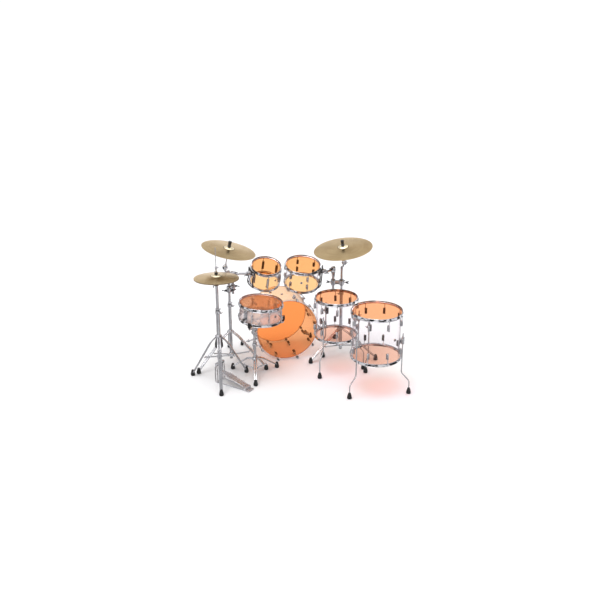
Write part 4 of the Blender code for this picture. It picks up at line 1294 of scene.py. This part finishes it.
def hihat():
    place = Matrix.Translation(HIHAT_STAND)
    bright, black = tripod(0.429, 0.235, 0.2765, (-98.4, 21.6, 141.6), 0.25, 0.017)
    bright.append(tube(0.017, 0.0137, 0.165, 0.664))
    collar, sleeve = lock(0.668, 0.0145, 0.0205, -50, 0.028)
    boot = [
        (0.0174, 0.412), (0.0235, 0.41), (0.029, 0.395), (0.0345, 0.365), (0.0362, 0.343), (0.034, 0.331),
        (0.028, 0.326), (0.0174, 0.326)
    ]
    skirt = lathe(boot, 36)
    frame_bits, plates = pedal_frame()
    groups = {
        "chrome": bright + collar + frame_bits, "satin": plates, "plastic": sleeve + [skirt],
        "rubber": black
    }
    pieces("hihat_base", groups, place)
    upper = tube(0.0122, 0.006, 0.5, 0.8985)
    cup = [
        (0.0064, 0.8965), (0.0165, 0.8965), (0.019, 0.899), (0.0192, 0.908), (0.0175, 0.911),
        (0.0064, 0.911)
    ]
    felt = [(0.0064, 0.9112), (0.0165, 0.9112), (0.0178, 0.9135), (0.0165, 0.919), (0.0064, 0.9195)]
    lever = moved(
        rounded((0.015, -0.003, 0.895), (0.034, 0.003, 0.901), 0.0015),
        Matrix.Rotation(math.radians(195), 4, "Z")
    )
    drop = moved(
        rounded((0.029, -0.0035, 0.88), (0.034, 0.0035, 0.899), 0.0015),
        Matrix.Rotation(math.radians(195), 4, "Z")
    )
    ring_up = memory_ring(0.676, 0.012, 0.0185, -10)
    groups = {
        "chrome": [upper] + ring_up, "plastic": [lathe(cup, 36), lever, drop], "felt": [lathe(felt, 32)]
    }
    pieces("hihat_tube", groups, place)
    lean = Vector((HIHAT_AXIS.x, HIHAT_AXIS.y, 0)) * 0.0315
    cymbal(
        "hihat_bottom_cymbal", HIHAT_STAND + Vector((0, 0, 0.955)) + lean, HIHAT_AXIS, HIHAT_DIAMETER,
        True
    )
    top = 0.955 + HIHAT_GAP
    cymbal("hihat_top_cymbal", HIHAT_STAND + Vector((0, 0, top)) - lean, HIHAT_AXIS, HIHAT_DIAMETER)
    pull = [rod(0.0032, 0.175, 1.232, 0.001, 16)]
    links = []
    for i in range(8):
        z = 0.172 - i * 0.009
        turn = Matrix.Rotation(math.radians(90 if i % 2 else 0), 4, "Z")
        loop = [polar(0.003, a) for a in angles(12, 0)]
        path = [
            Vector((p.x, 0, p.y * 1.7 + z)) for p in loop
        ] + [Vector((loop[0].x, 0, loop[0].y * 1.7 + z))]
        links.append(moved(sweep(path, 0.0011, 8, 1.0, (0, 1, 0)), turn))
    pieces("hihat_rod", {"chrome": pull, "satin": links}, place)
    body = [
        (0.0038, 0.01), (0.0095, 0.01), (0.01, 0.012), (0.01, 0.026), (0.0052, 0.0265), (0.0052, 0.048),
        (0.0075, 0.0485), (0.0092, 0.052)
    ]
    body += [
        (0.0092, 0.064), (0.007, 0.0665), (0.007, 0.076), (0.0092, 0.0785), (0.0092, 0.099), (0.008, 0.1),
        (0.0038, 0.1)
    ]
    clutch = lathe([(r, top + z) for r, z in body], 32)
    pads = lathe(
        [
            (r, top + z) for r,
            z in (
                (0.0054, 0.0335), (0.0135, 0.034), (0.015, 0.0362), (0.015, 0.0455), (0.013, 0.048),
                (0.0054, 0.048)
            )
        ],
        32
    )
    wings = wing(
        (0.0085 * math.cos(0.26), 0.0085 * math.sin(0.26), top + 0.089),
        (math.cos(0.26), math.sin(0.26), 0), 0.013, 0.032
    )
    drops = wing((-0.006, -0.005, top + 0.06), (-0.7, -0.7, 0), 0.01, 0.022, 0.004, 0.0055)
    pieces("hihat_clutch", {"chrome": [clutch] + wings + drops, "plastic": [pads]}, place)
    footboard()


def pedal_frame():
    """The hi-hat's pedal frame: two slotted side plates, a cross bar, and the radius rods to the heel."""
    rails, plates = [], []
    for side in (-1, 1):
        a, b = sorted((side * 0.015, side * 0.052))
        rails.append(rounded((-0.0125, a, 0.162), (0.0125, b, 0.188), 0.004, 3))
        y = side * 0.048
        window = [
            Vector((0, y, 0.17)), Vector((-0.0105, y, 0.15)), Vector((-0.012, y, 0.08)),
            Vector((-0.0115, y, 0.014))
        ]
        for flip_x in (-1, 1):
            path = [Vector((p.x * flip_x, p.y, p.z)) for p in window]
            plates.append(sweep(fillet(path, 0.03), 0.0036, 10, 1.5, (1, 0, 0)))
        plates.append(rounded((-0.013, y - 0.0042, 0.0), (0.013, y + 0.0042, 0.02), 0.003))
        rails.append(
            sweep([(0.0, side * 0.044, 0.006), (PEDAL_HEEL - 0.005, side * 0.03, 0.006)], 0.004, 14)
        )
        low = (PEDAL_HEEL - 0.012, side * 0.0325 - 0.0035, 0.008)
        plates.append(
            rounded(low, (PEDAL_HEEL + 0.012, side * 0.0325 + 0.0035, PEDAL_PIVOT + 0.01), 0.0016)
        )
    plates.append(rounded((-0.01, -0.05, 0.0), (0.01, 0.05, 0.01), 0.002))
    plates.append(
        rounded((PEDAL_HEEL - 0.012, -0.036, 0.0), (PEDAL_HEEL + 0.045, 0.036, 0.012), 0.004, 3)
    )
    for x in (0.02, 0.034):
        plates.append(
            rounded(
                (PEDAL_HEEL + x - 0.003, -0.028, 0.0115), (PEDAL_HEEL + x + 0.003, 0.028, 0.0135), 0.0008
            )
        )
    spring = sweep(
        [
            Vector((0.006 * math.cos(t), 0.036 + 0.006 * math.sin(t), 0.08 + 0.0011 * t))
            for t in [i * 0.6 for i in range(100)]
        ],
        0.0009, 6
    )
    rails.append(spring)
    return [turned(s, PEDAL_ANGLE) for s in rails], [turned(s, PEDAL_ANGLE) for s in plates]


def footboard():
    rise = math.atan2(PEDAL_TOE - PEDAL_PIVOT, PEDAL_HEEL - 0.025)
    length = (PEDAL_HEEL - 0.025) / math.cos(rise)
    solids = []
    outline = [
        (-length + 0.012, 0.024), (-length, 0.014), (-length, -0.014), (-length + 0.012, -0.024),
        (-length + 0.075, -0.036), (-0.02, -0.033), (-0.016, -0.028)
    ]
    outline += [(-0.016, 0.028), (-0.02, 0.033), (-length + 0.075, 0.036)]
    points = [Vector((x, y, 0.003)) for x, y in outline] + [Vector((x, y, 0.0088)) for x, y in outline]
    n = len(outline)
    faces = [tuple(range(n)), tuple(range(2 * n - 1, n - 1, -1))] + [
        (i, (i + 1) % n, (i + 1) % n + n, i + n) for i in range(n)
    ]
    solids.append((points, faces))
    solids.append(rounded((-0.02, -0.027, 0.003), (0.002, 0.027, 0.009), 0.002))
    solids.append(moved(rod(0.0062, -0.0283, 0.0283, 0.001, 20), QUARTER_X))
    for row in range(9):
        x = -length + 0.04 + row * 0.022
        for y in (-0.02, -0.01, 0.0, 0.01, 0.02):
            if abs(y) > 0.012 and row == 0:
                continue
            solids.append(at(ring(0.0036, 0.0018, 0.0082, 0.0102, 0.0005, 12), (x, y, 0)))
    for side in (-1, 1):
        solids.append(
            sweep(
                fillet(
                    [
                        (-length + 0.016, side * 0.0235, 0.0095),
                        (-length + 0.075, side * 0.0335, 0.0095), (-0.022, side * 0.031, 0.0095)
                    ],
                    0.02
                ),
                0.002, 8
            )
        )
    turn = Matrix.Translation((PEDAL_HEEL, 0, PEDAL_PIVOT)) @ Matrix.Rotation(rise, 4, "Y")
    solids = [turned(moved(s, turn), PEDAL_ANGLE) for s in solids]
    pieces("hihat_footboard", {"satin": solids}, Matrix.Translation(HIHAT_STAND))


def snare():
    size = SNARE_SIZE
    radius, depth = size[0] / 2, size[1]
    place = tom_frame(SNARE_HEAD, SNARE_AXIS, size)
    strainer = math.radians(-148)
    plate = turned(
        rounded((radius + 0.001, -0.017, 0.02), (radius + 0.0075, 0.017, 0.118), 0.002, 3), strainer
    )
    case = turned(
        rounded((radius + 0.006, -0.011, 0.03), (radius + 0.0158, 0.011, 0.108), 0.003, 3), strainer
    )
    knob = radial(
        at(
            lathe(
                [
                    (0, 0.118), (0.0075, 0.118), (0.0085, 0.121), (0.008, 0.13), (0.006, 0.1325),
                    (0, 0.1325)
                ],
                20
            ),
            (0.01, 0, -0.004)
        ),
        radius, strainer
    )
    gasket = turned(
        rounded((radius + 0.0003, -0.0185, 0.0185), (radius + 0.0014, 0.0185, 0.1195), 0.0004), strainer
    )
    butt = turned(
        rounded((radius + 0.001, -0.015, 0.03), (radius + 0.013, 0.015, 0.085), 0.003, 3),
        strainer + math.pi
    )
    pad = turned(
        rounded((radius + 0.0003, -0.0162, 0.0285), (radius + 0.0014, 0.0162, 0.0865), 0.0004),
        strainer + math.pi
    )
    grommet, hole = vent(size, depth * 0.5, math.radians(9.4 - 90 + 22.5))
    groups = {
        "frosted": [shell_tube(size)], "chrome": [plate, case, knob, butt] + grommet,
        "plastic": [gasket, pad] + hole
    }
    pieces("snare_shell", groups, place)
    pieces("snare_batter_head", skin(size, True, "amber"), place)
    pieces("snare_bottom_head", skin(size, False, "clear"), place)
    pieces("snare_hoops", bridged_set(size, 8, 9.4, 0.04, True), place)
    strands = []
    for k in range(20):
        y = (k - 9.5) * 0.002
        path = [
            Vector((x, y + 0.0005 * (i % 2), -0.0033 + 0.0005 * ((i // 2) % 2))) for i,
            x in enumerate([-0.15 + 0.3 * i / 60 for i in range(61)])
        ]
        strands.append(sweep(path, 0.0006, 5))
    ends = [
        rounded((x - 0.008, -0.0212, -0.0045), (x + 0.008, 0.0212, -0.0023), 0.0006)
        for x in (-0.156, 0.156)
    ]
    pieces("snare_wires", {"satin": [turned(s, strainer) for s in strands + ends]}, place)
    lever = [rounded((radius + 0.0165, -0.006, 0.04), (radius + 0.023, 0.006, 0.105), 0.0022, 3)]
    lever.append(
        moved(
            rod(0.0048, -0.0085, 0.0085, 0.001, 18),
            Matrix.Translation((radius + 0.02, 0, 0.1015)) @ QUARTER_X
        )
    )
    grip = [rounded((radius + 0.0185, -0.0095, 0.028), (radius + 0.032, 0.0095, 0.046), 0.004, 3)]
    pieces(
        "snare_strainer_lever",
        {"chrome": [turned(s, strainer) for s in lever], "plastic": [turned(s, strainer) for s in grip]},
        place
    )
    snare_stand(place, radius)


def snare_stand(drum, radius):
    centre = SNARE_STAND
    place = Matrix.Translation(centre)
    bright, black = tripod(0.15, 0.054, 0.231, (-101.5, 18.5, 138.5), -0.02, 0.0135)
    bright.append(tube(0.0135, 0.011, 0.04, 0.296))
    collar, sleeve = lock(0.299, 0.0116, 0.0185, -60)
    pieces("snare_stand_base", {"chrome": bright + collar, "plastic": sleeve, "rubber": black}, place)
    pivot = Vector((0, 0, 0.43))
    lean = Vector((0.039, -0.057, 0)).normalized()
    hinge = Vector((-lean.y, lean.x, 0))
    post = [tube(0.0098, 0.0078, 0.11, 0.392)] + [
        moved(s, axis_frame(pivot, hinge)) for s in knuckle_half(-1, 0.02)
    ]
    link = pivot - hinge * 0.0108
    post.append(sweep(fillet([(0, 0, 0.38), link - Vector((0, 0, 0.033)), link], 0.01), 0.0085, 20))
    post.append(at(rod(0.0122, 0.376, 0.394, 0.002, 28), (0, 0, 0)))
    post += memory_ring(0.304, 0.0096, 0.0155, -35)
    pieces("snare_stand_post", {"chrome": post}, place)
    back = drum.inverted()
    world_pivot = centre + pivot
    bright = [moved(s, back @ axis_frame(world_pivot, hinge)) for s in knuckle_half(1, 0.02)]
    hub = Vector((0, 0, -0.075))
    bright.append(sweep([back @ (world_pivot + hinge * 0.0108), hub], 0.0085, 20))
    bright += [moved(s, back) for s in wing(world_pivot + hinge * 0.0128, hinge, 0.014, 0.038)]
    bright.append(
        lathe(
            [(0, -0.088), (0.018, -0.088), (0.021, -0.084), (0.021, -0.064), (0.018, -0.06), (0, -0.06)],
            36
        )
    )
    nut = lathe(
        [(0, -0.06), (0.015, -0.06), (0.0165, -0.057), (0.015, -0.05), (0.006, -0.047), (0, -0.047)], 24
    )
    black = [nut]
    for degrees in (-130.6, -10.6, 109.4):
        angle = math.radians(degrees)
        path = [polar(0.012, angle, -0.072), polar(radius * 0.62, angle, -0.056)]
        path += [polar(radius + 0.0225, angle, -0.04), polar(radius + 0.0265, angle, -0.02)]
        bright.append(sweep(fillet(path, 0.03), 0.0058, 16))
        grip = sweep(
            fillet(
                [
                    polar(radius + 0.01, angle, -0.0215), polar(radius + 0.0262, angle, -0.0225),
                    polar(radius + 0.0275, angle, 0.024)
                ],
                0.01
            ),
            0.0075,
            16,
            1.75,
            (math.cos(angle), math.sin(angle), 0),
        )
        black.append(grip)
        for z in (-0.012, -0.003, 0.006, 0.015):
            black.append(
                radial(
                    rounded((0.0325, -0.011, z - 0.0016), (0.0358, 0.011, z + 0.0016), 0.0008), radius,
                    angle
                )
            )
    pieces("snare_basket", {"chrome": bright, "rubber": black}, drum)


make_camera()
make_studio()
FINISHES = make_finishes()
bass_drum()
rack_toms()
floor_tom("floor14", FLOOR14_SIZE, FLOOR14_AT, 29.7, (219.3, 339.3, 99.3), 0.254, 0.235)
floor_tom("floor16", FLOOR16_SIZE, FLOOR16_AT, 6.6, (205.1, 325.1, 85.1), 0.3, 0.185)
snare()
hihat()
cymbal_stands()
